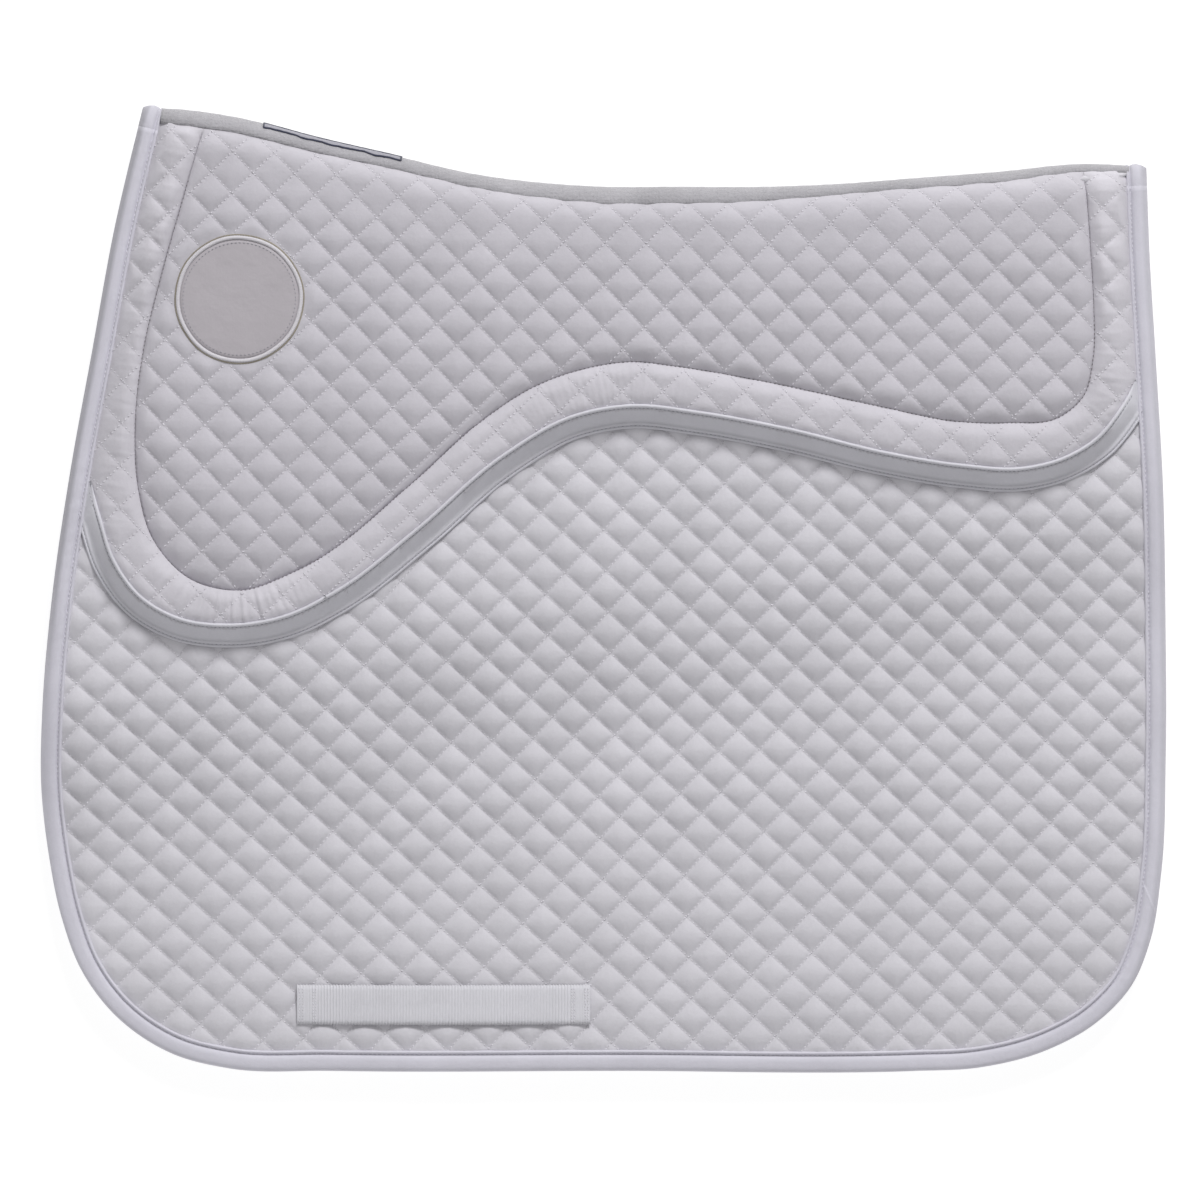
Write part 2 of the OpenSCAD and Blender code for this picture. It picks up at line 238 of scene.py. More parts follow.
def nearest(points, c):
    """Distance of each point from the curve, and how far along the curve it is nearest."""
    start, span = c[:-1], np.diff(c, axis=0)
    span_sq = (span ** 2).sum(1)
    own = lengths(c)
    knots = np.arange(0, len(c), 4)
    reach = np.arange(-6, 7)
    batch = 20000
    dist = np.empty(len(points))
    along = np.empty(len(points))
    for i in range(0, len(points), batch):
        p = points[i:i + batch]
        gap = ((p[:, None, :] - c[knots]) ** 2).sum(2)
        j = np.clip(knots[gap.argmin(1)][:, None] + reach, 0, len(span) - 1)
        q = p[:, None, :] - start[j]
        t = np.clip((q * span[j]).sum(2) / span_sq[j], 0, 1)
        d = np.linalg.norm(q - t[..., None] * span[j], axis=2)
        k = d.argmin(1)
        r = np.arange(len(k))
        best = j[r, k]
        dist[i:i + batch] = d[r, k]
        along[i:i + batch] = own[best] + t[r, k] * np.sqrt(span_sq[best])
    return dist, along


def inside(points, ring):
    """Whether each point is inside the closed ring."""
    x, y = points[:, 0], points[:, 1]
    result = np.zeros(len(points), bool)
    for (x1, y1), (x2, y2) in zip(ring, np.roll(ring, -1, axis=0)):
        if y1 == y2:
            continue
        crosses = (y1 > y) != (y2 > y)
        result ^= crosses & (x < (x2 - x1) * (y - y1) / (y2 - y1) + x1)
    return result


def signed_distance(p, line, ring):
    """Distance from a line, negative outside the ring, and place along the line."""
    dist, along = nearest(p, line)
    return np.where(inside(p, ring), dist, -dist), along


def extended(c, reach):
    """The curve made longer at both ends, straight on."""
    steps = np.arange(reach, 0, -6.0)[:, None]
    ahead = c[0] + unit(c[0] - c[1]) * steps
    behind = c[-1] + unit(c[-1] - c[-2]) * steps[::-1]
    return np.vstack([ahead, c, behind])


def above(line):
    """The ring round all that lies on the spine's side of a line across the pad."""
    return np.vstack([line, BEYOND_SPINE])


EDGE = curve(EDGE_KEYS, 6)
EDGE_LONG = extended(EDGE, 60)
EDGE_INNER = shifted(EDGE_LONG, 5)
PAD_EDGE = curve(PAD_KEYS, 5)
PAD_RING = above(shifted(PAD_EDGE, 4))
PAD_INNER = shifted(PAD_EDGE, EDGE_TAPE_W)
PAD_INNER_RING = above(PAD_INNER)
SEAM = curve(SEAM_KEYS, 5)
SEAM_RING = above(SEAM)
FOLD = curve(FOLD_KEYS, 6)
TAPE_SHOW = curve(TAPE_SHOW_KEYS, 10)

# ---------------- shape of the folded pad


def drop(p):
    """How far both flaps sink below the level of the half-pad at a point of the plane."""
    across = np.array([-math.sin(DRAPE_ANGLE), math.cos(DRAPE_ANGLE)])
    w = (p - DRAPE_ORIGIN) @ across
    return DROP * smooth(-w / DRAPE_RUN)


def ripple(p):
    """Slow unevenness of cloth that was laid down by hand."""
    total = np.zeros(len(p))
    for a, b, c in WAVES:
        angle = 2 * math.pi * a
        k = 2 * math.pi / (70 + 160 * b)
        total += np.sin((p[:, 0] * math.cos(angle) + p[:, 1] * math.sin(angle)) * k + 40 * c)
    return 0.12 * total


def sink(p):
    """The drape and the ripple together, as a height to take away."""
    return drop(p) - ripple(p) * smooth((DRAPE_ORIGIN[1] - p[:, 1]) / 120)


def chord_frame(p):
    """Places of points along and across the chord of the fold."""
    q = p - FRONT_PEAK
    return q @ CHORD_U, q @ CHORD_V


def from_chord(u, v):
    return FRONT_PEAK + np.multiply.outer(u, CHORD_U) + np.multiply.outer(v, CHORD_V)


def thickness_share(edge_distance):
    """The half-pad is pressed thin where the binding holds its front and rear edge."""
    return THINNEST + (1 - THINNEST) * swell((edge_distance - BINDING_W) / 24)


def share_at(p):
    """Thickness share at points of the plane."""
    return thickness_share(nearest(p, EDGE_LONG)[0])


def fold_line(u):
    """How far across the chord the outermost line of the fold is."""
    return np.interp(u, *FOLD.T)


def fold_center(u, share):
    """How far across the chord the middle of the fold's round is."""
    return fold_line(u) - PAD_OUT * share


def past_fold(u, v, share):
    """How far a point of the plane is past the start of the fold, in radians."""
    return (v - fold_center(u, share)) / (PAD_OUT * share)


def wrapped(p, d, side, share):
    """Puts a point of the plane at distance d from the middle plane, round the fold if it
    is past the start of the fold, and lets it sink with the drape."""
    u, v = chord_frame(p)
    past = np.clip(past_fold(u, v, share), 0, 2.4)
    v_out = np.where(past > 0, fold_center(u, share) + d * np.sin(past), v)
    d_out = np.where(past > 0, d * np.cos(past), d)
    xy = from_chord(u, v_out)
    z = MID + side * d_out - sink(xy)
    return np.column_stack([xy, np.maximum(z, FLOOR_GAP)])


def line_normal(lines):
    """Direction across a family of parallel lines."""
    turn = math.radians(lines.angle)
    return np.array([math.cos(turn), math.sin(turn)])


def lattice(p, quilt):
    """Coordinates of points in the quilting: whole numbers lie on the stitched lines."""
    return [p @ line_normal(lines) / lines.pitch + lines.phase + stray
            for lines, stray in zip(quilt[:2], quilt.drift(p))]


def lattice_points(a, b, quilt):
    """The points of the plane that have these coordinates in the quilting."""
    inverse = np.linalg.inv(np.array([line_normal(lines) / lines.pitch for lines in quilt[:2]]))
    ab = np.stack([a - quilt.first.phase, b - quilt.second.phase], axis=-1)
    p = ab @ inverse.T
    for _ in range(4):
        p = (ab - np.stack(quilt.drift(p), axis=-1)) @ inverse.T
    return p


def pillow(p, quilt):
    """Height of the stuffed diamonds, 0 on the stitched lines and 1 in the middle."""
    a, b = lattice(p, quilt)
    i, j = np.floor(a).astype(int), np.floor(b).astype(int)
    fa, fb = a - i, b - j
    noise = CELL_NOISE[i % NOISE_CELLS, j % NOISE_CELLS]
    lean = 0.10 * (CELL_NOISE[(i + 17) % NOISE_CELLS, (j + 31) % NOISE_CELLS] - 0.5)
    shape = (1 - (2 * fa - 1) ** 2) * (1 - (2 * fb - 1) ** 2)
    return shape ** 0.82 * (0.86 + 0.22 * noise + lean * (fa - fb))


def wrinkles(s, pitch, seed):
    """Uneven short waves along s, between -1 and 1."""
    w = np.sin(2 * math.pi * s / pitch + seed)
    w += 0.7 * np.sin(2 * math.pi * s / (pitch * 0.61) + 2.3 * seed)
    w += 0.5 * np.sin(2 * math.pi * s / (pitch * 1.73) + 4.1 * seed)
    return w / 2.2


# ---------------- heights of the layers


def flap_outer(p):
    """Outer face of a flap, as a distance from the middle plane."""
    dist, along = nearest(p, EDGE_LONG)
    e = dist - BINDING_W
    to_tape, _ = nearest(p, PAD_EDGE)
    puff = FLAP_PUFF * smooth((e + 1.5) / 8) * (0.45 + 0.55 * smooth((to_tape - 1) / 9))
    puff = puff * (1 - 0.16 * smooth((-130 - p[:, 1]) / 110))
    beyond_keeper = (np.abs(p - KEEPER_CENTER) - KEEPER_HALF).max(axis=1)
    puff = puff * (0.35 + 0.65 * smooth((beyond_keeper + 2) / 8))
    d = FLAP_LEVEL + puff * pillow(p, FLAP_QUILT)
    pulls = 0.35 * wrinkles(along, 6.5, 1.3) * np.exp(-np.maximum(e, 0) / 6)
    d = np.where(inside(p, PAD_RING), np.minimum(d, UNDER_PAD), d)
    return np.where(e < 0, np.minimum(d, UNDER_BINDING), d) + pulls * smooth((e + 2) / 3)


def flap_inner(p):
    """Lining face of a flap, as a distance from the middle plane."""
    dist, _ = nearest(p, EDGE_LONG)
    puff = LINING_PUFF * pillow(p, FLAP_QUILT)
    return LINING_LEVEL - puff * smooth((dist - BINDING_W) / 8)


def tape_start(u, share):
    """How far round the fold, in radians from the level top, the spine tape begins."""
    show = np.interp(u, *TAPE_SHOW.T)
    radius = PAD_OUT * share
    return np.arcsin(np.clip(1 - show / radius, 0.05, 0.98))


def seam_distance(p):
    """Signed distance from the panel seam, positive inside the panel, and place along it."""
    return signed_distance(p, SEAM, SEAM_RING)


def gather_places(p):
    """Where the cloth is gathered: at both lobes, at the arch and at the rear corner."""
    x, y = p[:, 0], p[:, 1]
    lobe = bell((x + 236) / 36) * (y < 60)
    arch = 0.8 * bell((x - 12) / 62)
    rear = 0.7 * bell((x - 208) / 34) * (y < 150)
    corner = 0.5 * bell((x - 325) / 22) * smooth((180 - y) / 40)
    return lobe + arch + rear + corner


def held(d, edge):
    """Keeps cloth under the binding, by its distance from the edge of the pad."""
    in_groove = UNDER_BINDING + 1.4 * np.maximum(edge - BINDING_W - 0.6, 0)
    past_lip = 7.7 + 1.5 * np.maximum(edge - BINDING_W - 2.4, 0)
    return np.minimum(d, np.minimum(in_groove, past_lip))


def upright_share(p):
    """Goes from 0 to 1 up the stretches of the border beside the panel."""
    return smooth((p[:, 1] - 145) / 70)


def half_pad_level(p, seam, tape, in_panel):
    """Stitched lines of the half-pad, which sink along the seam and roll off at the tape. At
    the low front lobe the panel is stuffed less, so it sinks deeper and over a longer way."""
    low = smooth((150 - p[:, 1]) / 110) * smooth((-20 - p[:, 0]) / 80)
    depth = 3.2 + 2.2 * low - 1.6 * upright_share(p)
    reach = 15 + 25 * low - 4 * upright_share(p)
    panel = 0.9 - depth * (1 - swell(seam / reach, 2.1)) - 0.9 * np.exp(-seam / 1.5)
    border = -2.4 * (1 - swell(seam / 8)) + 1.3 * swell(seam / 12) - 0.5 * np.exp(-seam / 1.2)
    roll = -2.4 * (1 - swell(tape / 9, 2.0))
    return HALF_PAD_LEVEL + np.where(in_panel, panel, border) + roll


def half_pad_puff(p, seam, tape, in_panel):
    """How far the diamonds of the half-pad rise over its stitched lines."""
    panel = PANEL_PUFF * smooth((seam + 2) / 11)
    border = BORDER_PUFF + UPRIGHT_BORDER_PUFF * upright_share(p)
    return np.where(in_panel, panel, border * smooth((seam - 0.5) / 9) * smooth((tape + 1) / 6))


def half_pad_gather(p, seam, along, tape, in_panel):
    """Fine gathers of the half-pad's cloth on both sides of the seam."""
    depth = np.where(in_panel, 0.75 * np.exp(-seam / 15), 0.55 + 0.55 * (p[:, 0] < -150))
    gather = gather_places(p) * wrinkles(along, 4.6, 0.7) * depth * smooth(seam / 2.2)
    return gather * np.where(in_panel, 1, smooth(tape / 5))


def half_pad_outer(p, side, part=0):
    """Outer face of the half-pad, as a distance from the middle plane, and its thickness
    share. A part of 1 or -1 takes points on the seam as the panel's or the border's."""
    seam, along = seam_distance(p)
    edge, edge_along = nearest(p, EDGE_LONG)
    tape, _ = signed_distance(p, PAD_INNER, PAD_INNER_RING)
    share = thickness_share(edge)
    in_panel = seam > 0 if part == 0 else np.full(len(p), part > 0)
    seam = np.abs(seam)
    level = half_pad_level(p, seam, tape, in_panel)
    puff = half_pad_puff(p, seam, tape, in_panel) * smooth((edge - BINDING_W + 1) / 7)
    gather = half_pad_gather(p, seam, along, tape, in_panel)
    pulls = 0.3 * wrinkles(edge_along, 7.0, 2.1) * bell((edge - 27) / 12)
    # Towards the spine the cloth is pulled flat, and it goes level under the spine tape.
    u, v = chord_frame(p)
    below_fold = fold_line(u) - v
    near_tape = smooth((tape_start(u, share) - past_fold(u, v, share)) / 0.30)
    puff = puff * (0.25 + 0.75 * near_tape) * (0.5 + 0.5 * smooth((below_fold - 26) / 40))
    level = level + (1 - near_tape) * (UNDER_SPINE_TAPE - level)
    # The patch presses the diamonds flat.
    if side == NEAR:
        r = np.linalg.norm(p - PATCH_CENTER, axis=1)
        free = smooth((r - RIM_R + 1) / 8)
        puff = puff * free
        level = level + (1 - free) * 0.6
    # Further down, the cloth comes out from under the binding on a slope, rounded at its top.
    full = level * share
    ramp = 8.0 + 0.95 * np.maximum(edge - BINDING_W - 2, 0)
    lower = 0.5 * (full + ramp - np.sqrt((full - ramp) ** 2 + 6))
    full = full + (lower - full) * smooth((below_fold - 20) / 30)
    d = full + (pillow(p, PAD_QUILT) * puff + gather + pulls) * share
    return held(d, edge), share


# ---------------- mesh helpers


def new_object(name, data):
    obj = bpy.data.objects.new(name, data)
    bpy.context.scene.collection.objects.link(obj)
    return obj


def mesh_object(name, points, faces, flat=0, quilt=None):
    """A smooth mesh from points in millimetres, with so many flat faces at its end. Points of
    quilted cloth keep their coordinates in the quilting."""
    mesh = bpy.data.meshes.new(name)
    mesh.from_pydata((np.asarray(points) * 0.001).tolist(), [], [list(f) for f in faces])
    smooth_faces = np.arange(len(mesh.polygons)) < len(mesh.polygons) - flat
    mesh.polygons.foreach_set("use_smooth", smooth_faces)
    if quilt is not None:
        cells = np.zeros((len(points), 3), np.float32)
        cells[:, :2] = quilt
        mesh.attributes.new("quilt", "FLOAT_VECTOR", "POINT").data.foreach_set(
            "vector", cells.ravel())
    mesh.update()
    return new_object(name, mesh)


def quilt_grid(quilt, steps, keep):
    """Points of the plane on a grid that follows the quilting, with its faces. Only cells
    whose corners all pass keep stay."""
    a, b = lattice(PLANE, quilt)
    ticks = [np.add.outer(np.arange(math.floor(c.min()), math.ceil(c.max())), steps).ravel()
             for c in (a, b)]
    grid_a, grid_b = np.meshgrid(*ticks, indexing="ij")
    p = lattice_points(grid_a.ravel(), grid_b.ravel(), quilt)
    good = keep(p).reshape(grid_a.shape)
    cells = good[:-1, :-1] & good[1:, :-1] & good[1:, 1:] & good[:-1, 1:]
    ids = np.arange(p.shape[0]).reshape(grid_a.shape)
    faces = np.stack([ids[:-1, :-1][cells], ids[1:, :-1][cells], ids[1:, 1:][cells],
                      ids[:-1, 1:][cells]], axis=1)
    used = np.unique(faces)
    new = np.full(len(p), -1)
    new[used] = np.arange(len(used))
    return p[used], new[faces]


def rim_edges(faces):
    """Directed edges that only one face has."""
    edges = {(a, b) for face in faces for a, b in zip(face, face[1:] + face[:1])}
    return [(a, b) for a, b in edges if (b, a) not in edges]


def sandwich(name, quilt, p, faces, outer, inner, side, share):
    """A closed mesh over a grid of the plane, between two distances from the middle plane."""
    n = len(p)
    faces = [list(face) for face in faces]
    walls = [[b, a, a + n, b + n] for a, b in sorted(rim_edges(faces))]
    under = [[i + n for i in reversed(face)] for face in faces]
    every = faces + under + walls
    if side == FAR:
        every = [face[::-1] for face in every]
    points = np.vstack([wrapped(p, d, side, share) for d in (outer, inner)])
    cells = np.stack(lattice(p, quilt), axis=-1)
    return mesh_object(name, points, every, len(walls), np.vstack([cells, cells]))


def grid_faces(rows, count, closed=False):
    """Quads over a grid of so many rows of so many points, whose rows are closed rings."""
    i, j = np.meshgrid(np.arange(rows - 1 + closed), np.arange(count), indexing="ij")
    k, ahead = (j + 1) % count, (i + 1) % rows
    return np.stack([i * count + j, i * count + k, ahead * count + k, ahead * count + j],
                    axis=-1).reshape(-1, 4).tolist()


def tube(name, grid, flip=False, painted_shade=None):
    """A closed tube from a grid of points, stations by profile points. A flip turns its faces
    round. A binding keeps its painted shade, how much darker each point is drawn where it turns
    over the edge."""
    order = slice(None, None, -1 if flip else 1)
    n, m, _ = grid.shape
    ends = [list(range(m))[::-1], list(range((n - 1) * m, n * m))]
    faces = grid_faces(n, m) + ends
    obj = mesh_object(name, grid[:, order].reshape(-1, 3), faces, len(ends))
    if painted_shade is not None:
        values = np.ascontiguousarray(painted_shade[:, order], np.float32).ravel()
        obj.data.attributes.new("painted_shade", "FLOAT", "POINT").data.foreach_set("value", values)
    return obj


def threads(name, points, along, length, width, height, side=NEAR):
    """Stitches of sewing thread: a small spindle at each point."""
    up = np.array([0.0, 0.0, side])
    along = unit(along)
    out = unit(np.cross(along, up))
    offsets = [along * length / 2, out * width / 2, up * height, -out * width / 2,
               -up * height, -along * length / 2]
    verts = np.stack([points + o for o in offsets], axis=1).reshape(-1, 3)
    pattern = np.array([(0, 1, 2), (0, 2, 3), (0, 3, 4), (0, 4, 1),
                        (5, 2, 1), (5, 3, 2), (5, 4, 3), (5, 1, 4)])
    faces = (np.arange(len(points))[:, None, None] * 6 + pattern).reshape(-1, 3)
    return mesh_object(name, verts, faces)


def row_points(path, pitch):
    """Evenly spaced points along a path in space, with the path's direction there."""
    s = np.arange(pitch / 2, lengths(path)[-1], pitch)
    return at_lengths(path, s), unit(at_lengths(path, s + 0.5) - at_lengths(path, s - 0.5))


def row_stitches(name, path, pitch, length, width, height):
    """A row of stitches along a path of points in space."""
    return threads(name, *row_points(path, pitch), length, width, height)


# ---------------- quilted layers


def flap_region(p):
    """Whether points of the plane lie in a flap, up to where the fold begins."""
    u, v = chord_frame(p)
    return inside(p, EDGE_INNER) & (v < fold_center(u, share_at(p)) + 1)


def cover_piece(side, label):
    """The quilted cover and filling of one flap, as far as the half-pad hides it."""
    hidden = above(shifted(PAD_EDGE, 30))

    def keep(p):
        return flap_region(p) & ~inside(p, hidden)

    p, faces = quilt_grid(FLAP_QUILT, FINE if side == NEAR else COARSE, keep)
    return sandwich(f"{label}_cover_quilt", FLAP_QUILT, p, faces, flap_outer(p), 2.6, side, 1)


def lining_piece(side, label):
    """The quilted lining of one flap, on the side that lies against the other flap."""
    p, faces = quilt_grid(FLAP_QUILT, COARSE, flap_region)
    return sandwich(f"{label}_lining_quilt", FLAP_QUILT, p, faces, 2.4, flap_inner(p), side,
                    share_at(p))


def cut_along(p, faces, signed, curve_points):
    """Cuts faces where signed is below zero, with the new corners on the curve."""
    p = p.copy()
    signed = signed.copy()
    close = np.abs(signed) < 0.3
    _, along = nearest(p[close], curve_points)
    p[close] = at_lengths(curve_points, along)
    signed[close] = 0
    whole = (signed[faces] >= 0).all(1)
    gone = (signed[faces] <= 0).all(1) & ~whole
    kept = faces[whole].tolist()
    extra = {}
    for face in faces[~whole & ~gone].tolist():
        corners = []
        for a, b in zip(face, face[1:] + face[:1]):
            if signed[a] >= 0:
                corners.append(a)
            if signed[a] * signed[b] < 0:
                key = (min(a, b), max(a, b))
                corners.append(extra.setdefault(key, len(p) + len(extra)))
        if len(corners) > 2:
            kept.append(corners)
    if extra:
        a, b = np.array(list(extra)).T
        t = (signed[a] / (signed[a] - signed[b]))[:, None]
        middle = p[a] + (p[b] - p[a]) * t
        _, along = nearest(middle, curve_points)
        p = np.vstack([p, at_lengths(curve_points, along)])
    used = sorted({i for face in kept for i in face})
    new = {old: i for i, old in enumerate(used)}
    return p[used], [[new[i] for i in face] for face in kept]


def half_pad_pieces(side, label):
    """The quilted inner panel of the half-pad and the padded border round it."""
    edge_ring = shifted(EDGE_LONG, BINDING_W - 4)
    tape_ring = above(shifted(PAD_EDGE, EDGE_TAPE_W - 3))
    pieces = []
    for part, sign, steps in (("panel", 1, PANEL_STEPS), ("border", -1, BORDER_STEPS)):
        def keep(p):
            u, v = chord_frame(p)
            share = share_at(p)
            near_part = seam_distance(p)[0] * sign > -6
            return (inside(p, edge_ring) & inside(p, tape_ring) & near_part
                    & (past_fold(u, v, share) < tape_start(u, share) + 0.3))

        p, faces = quilt_grid(PAD_QUILT, steps if side == NEAR else COARSE, keep)
        p, faces = cut_along(p, faces, seam_distance(p)[0] * sign, SEAM)
        d, share = half_pad_outer(p, side, sign)
        pieces.append(sandwich(f"{label}_half_pad_{part}_quilt", PAD_QUILT, p, faces, d,
                               np.minimum(UNDER_PAD, d - 0.8), side, share))
    return pieces


def quilt_threads(name, quilt, keep, height):
    """Lock stitches along both families of quilting lines of the near flap."""
    a, b = lattice(PLANE, quilt)
    points, steps = [], []
    for family, (own, other) in enumerate(((a, b), (b, a))):
        spacing = STITCH_PITCH / quilt[1 - family].pitch
        lines = np.arange(math.ceil(own.min()), math.floor(own.max()) + 1)
        run = np.arange(other.min(), other.max(), spacing)
        grid_own, grid_run = np.meshgrid(lines, run, indexing="ij")
        pair = (grid_own.ravel(), grid_run.ravel())
        ahead = (grid_own.ravel(), grid_run.ravel() + 0.05)
        if family:
            pair, ahead = pair[::-1], ahead[::-1]
        p = lattice_points(*pair, quilt)
        points.append(p)
        steps.append(unit(lattice_points(*ahead, quilt) - p))
    p, step = np.vstack(points), np.vstack(steps)
    chosen = keep(p)
    p, step = p[chosen], step[chosen]
    mid = height(p)
    ahead = height(p + step * 0.8)
    mid[:, 2] += 0.12
    return threads(name, mid, ahead - mid, 2.2, 0.95, 0.5)


# ---------------- tapes and bindings

# How far along the edge the binding's turn round the fold reaches down each flap.
NOSE_REACH = 14.0
# Where along its edge the binding and the half-pad's edge tape are joined.
BINDING_JOIN = 1345.0
TAPE_JOIN = 224.0

# Section of the binding: distance in from the edge, and distance from the middle plane.
BINDING_SECTION = [(13.9, 6.3), (13.7, 8.0), (13.2, 8.8), (12.5, 8.9), (11.9, 8.2),
                   (11.4, 6.9), (10.9, 7.2), (10.4, 8.4), (9.0, 9.2), (7.2, 9.4), (5.4, 9.0),
                   (4.0, 8.1), (2.8, 6.8), (1.7, 5.3), (0.8, 3.9), (0.3, 2.6), (1.2, 1.3),
                   (3.0, 0.6), (7.0, 0.35), (11.5, 0.35), (12.8, 0.8), (13.2, 3.0)]
# The outer points of the section are higher where the hem lies flat.
FLAT_HEM = {5.4: 9.3, 4.0: 9.2, 2.8: 8.9, 1.7: 8.3, 0.8: 7.3, 0.3: 5.2}
# How far each point of the section is turned over the edge, from 0 to 1, where painted shade
# darkens the binding's colour, and the share of that painted shade at the rear edge.
TURNED_SHADE = np.array([smooth((5.2 - t) / 2.4) * (d > 2) for t, d in BINDING_SECTION])
REAR_PAINTED_SHADE = 0.45
# Section of the half-pad's edge tape: distance in from its outer edge, and the share of the
# way from the flap up to the half-pad.
TAPE_SECTION = [(-2.5, -0.03), (-2.3, 0.07), (-1.8, 0.12), (-1.1, 0.12), (-0.8, 0.08),
                (-0.5, 0.08), (-0.2, 0.14), (0.5, 0.17), (1.2, 0.18), (1.6, 0.16), (3.2, 0.27),
                (5.2, 0.46), (7.4, 0.66), (9.2, 0.80), (10.0, 0.85), (10.4, 0.83),
                (10.8, 0.96), (11.5, 1.03), (12.4, 1.02), (13.0, 0.92), (13.1, 0.8),
                (11.6, 0.66), (8.0, 0.42), (4.0, 0.08), (0.0, -0.06)]
# Points of that section on the outer face of the tape.
TAPE_FACE = range(6, 17)


def settle(grid):
    """Lets a grid of points sink with the drape, no lower than what the pad lies on."""
    flat = grid[:, :, :2].reshape(-1, 2)
    z = grid[:, :, 2] - sink(flat).reshape(grid.shape[:2])
    grid[:, :, 2] = np.maximum(z, FLOOR_GAP)


def lap(past, fade, ridge):
    """Height of a tape by the distance past the join, where one end lies on the other: a
    fine ridge and a step that fades away."""
    step = 0.3 * smooth(past / 1.5) * np.exp(-np.maximum(past, 0) / fade)
    return step + ridge * bell(past / 1.2)


def binding_piece(side, label):
    """The tape folded over the front, bottom and rear edge of a flap."""
    total = lengths(EDGE)[-1]
    s = np.unique(np.concatenate([np.linspace(NOSE_REACH - 3, total - NOSE_REACH + 3,
                                              int(total / 3.2)),
                                  np.arange(BINDING_JOIN - 26, BINDING_JOIN + 6, 0.8)]))
    path = at_lengths(EDGE, s)
    x, y = path.T
    front = bell((y - 40) / 45) * (x < 0)
    corner = bell((y + 250) / 40)
    ends = smooth((s - NOSE_REACH) / 12) * smooth((total - NOSE_REACH - s) / 12)
    slant = -1.7 * bell((s - BINDING_JOIN) / 30)
    step = lap(BINDING_JOIN - s, 50, 0.5)
    grid = np.empty((len(s), len(BINDING_SECTION), 3))
    for j, (t, d) in enumerate(BINDING_SECTION):
        own = s + slant * (13.6 - t)
        path = at_lengths(EDGE, own)
        pucker = (0.55 * front + 0.16 * corner + 0.09) * wrinkles(own + 0.55 * t, 9.0, 0.4)
        level = d + (FLAT_HEM.get(t, d) - d) * smooth((-120 - path[:, 1]) / 90)
        raised = pucker * ends * (t < 11.2) + step * (t < 11)
        grid[:, j, :2] = path + left_normals(path) * t
        grid[:, j, 2] = MID + side * (level + smooth((d - 4) / 3) * raised)
    settle(grid)
    # Painted shade on the binding's colour where it turns over the edge: full up the front, weaker
    # at the rear, fading out along the hem.
    place = np.where(x < 0, smooth((y + 120) / 160), REAR_PAINTED_SHADE)
    painted_shade = np.multiply.outer(place * smooth((y + 290) / 60), TURNED_SHADE)
    return tube(f"{label}_edge_binding", grid, side == NEAR, painted_shade)


def binding_row(side, label, t, d):
    """The row of stitches in the groove of the binding."""
    path = at_lengths(EDGE, np.arange(6, lengths(EDGE)[-1] - 6, 3.0))
    p = path + left_normals(path) * t
    points = wrapped(p, d, side, 1)
    return row_stitches(f"{label}_binding_stitches", points, 3.0, 2.2, 0.7, 0.35)


def tape_levels(p):
    """Heights of the flap and of the half-pad where the edge tape joins them."""
    return 7.4, np.maximum(21.6 * share_at(p), 8.0)


def between_edges(p, inset):
    """Moves points along X so that they stay well inside the front and the rear edge."""
    front, rear = EDGE[EDGE[:, 0] < 0][::-1], EDGE[EDGE[:, 0] > 0]
    low = np.interp(p[:, 1], front[:, 1], front[:, 0]) + inset
    high = np.interp(p[:, 1], rear[:, 1], rear[:, 0]) - inset
    return np.column_stack([np.clip(p[:, 0], low, high), p[:, 1]])


def edge_tape_piece(side, label):
    """The tape that covers the sloping lower edge of the half-pad."""
    total = lengths(PAD_EDGE)[-1]
    s = np.unique(np.concatenate([np.linspace(7, total - 7, int(total / 2.6)),
                                  np.arange(TAPE_JOIN - 4, TAPE_JOIN + 24, 0.8)]))
    slant = 1.6 * bell((s - TAPE_JOIN) / 30)
    step = lap(s - TAPE_JOIN, 40, 0.6)
    grid = np.empty((len(s), len(TAPE_SECTION), 3))
    for j, (t, h) in enumerate(TAPE_SECTION):
        own = s + slant * min(max(t, 0), 11)
        path = at_lengths(PAD_EDGE, own)
        normal = left_normals(path)
        low, high = tape_levels(path + normal * EDGE_TAPE_W)
        uneven = 0.12 * wrinkles(own + 0.4 * t, 11.0, 1.9)
        across = between_edges(path + normal * t, 4.5)
        d = low + (high - low) * h + uneven * (0.2 < h < 0.95) + step * (j in TAPE_FACE)
        grid[:, j, :2] = across
        grid[:, j, 2] = MID + side * held(d, nearest(across, EDGE_LONG)[0])
    settle(grid)
    return tube(f"{label}_half_pad_edge_tape", grid, side == FAR)


def edge_tape_rows(side, label):
    """Stitch rows along the two folded edges of the tape."""
    total = lengths(PAD_EDGE)[-1]
    path = at_lengths(PAD_EDGE, np.arange(14, total - 16, 3.0))
    normal = left_normals(path)
    low, high = tape_levels(path + normal * EDGE_TAPE_W)
    rows = []
    for name, t, h in (("lower", -0.6, 0.075), ("upper", 10.35, 0.875)):
        p = path + normal * t
        d = low + (high - low) * h
        points = np.column_stack([p, MID + side * d - sink(p)])
        rows.append(row_stitches(f"{label}_edge_tape_{name}_stitches", points, 2.7, 1.9, 0.6,
                                 0.35))
    return rows


# ---------------- the fold


def fold_share(u):
    """Thickness share of the fold at a station of the chord."""
    return share_at(from_chord(u, fold_line(u)))


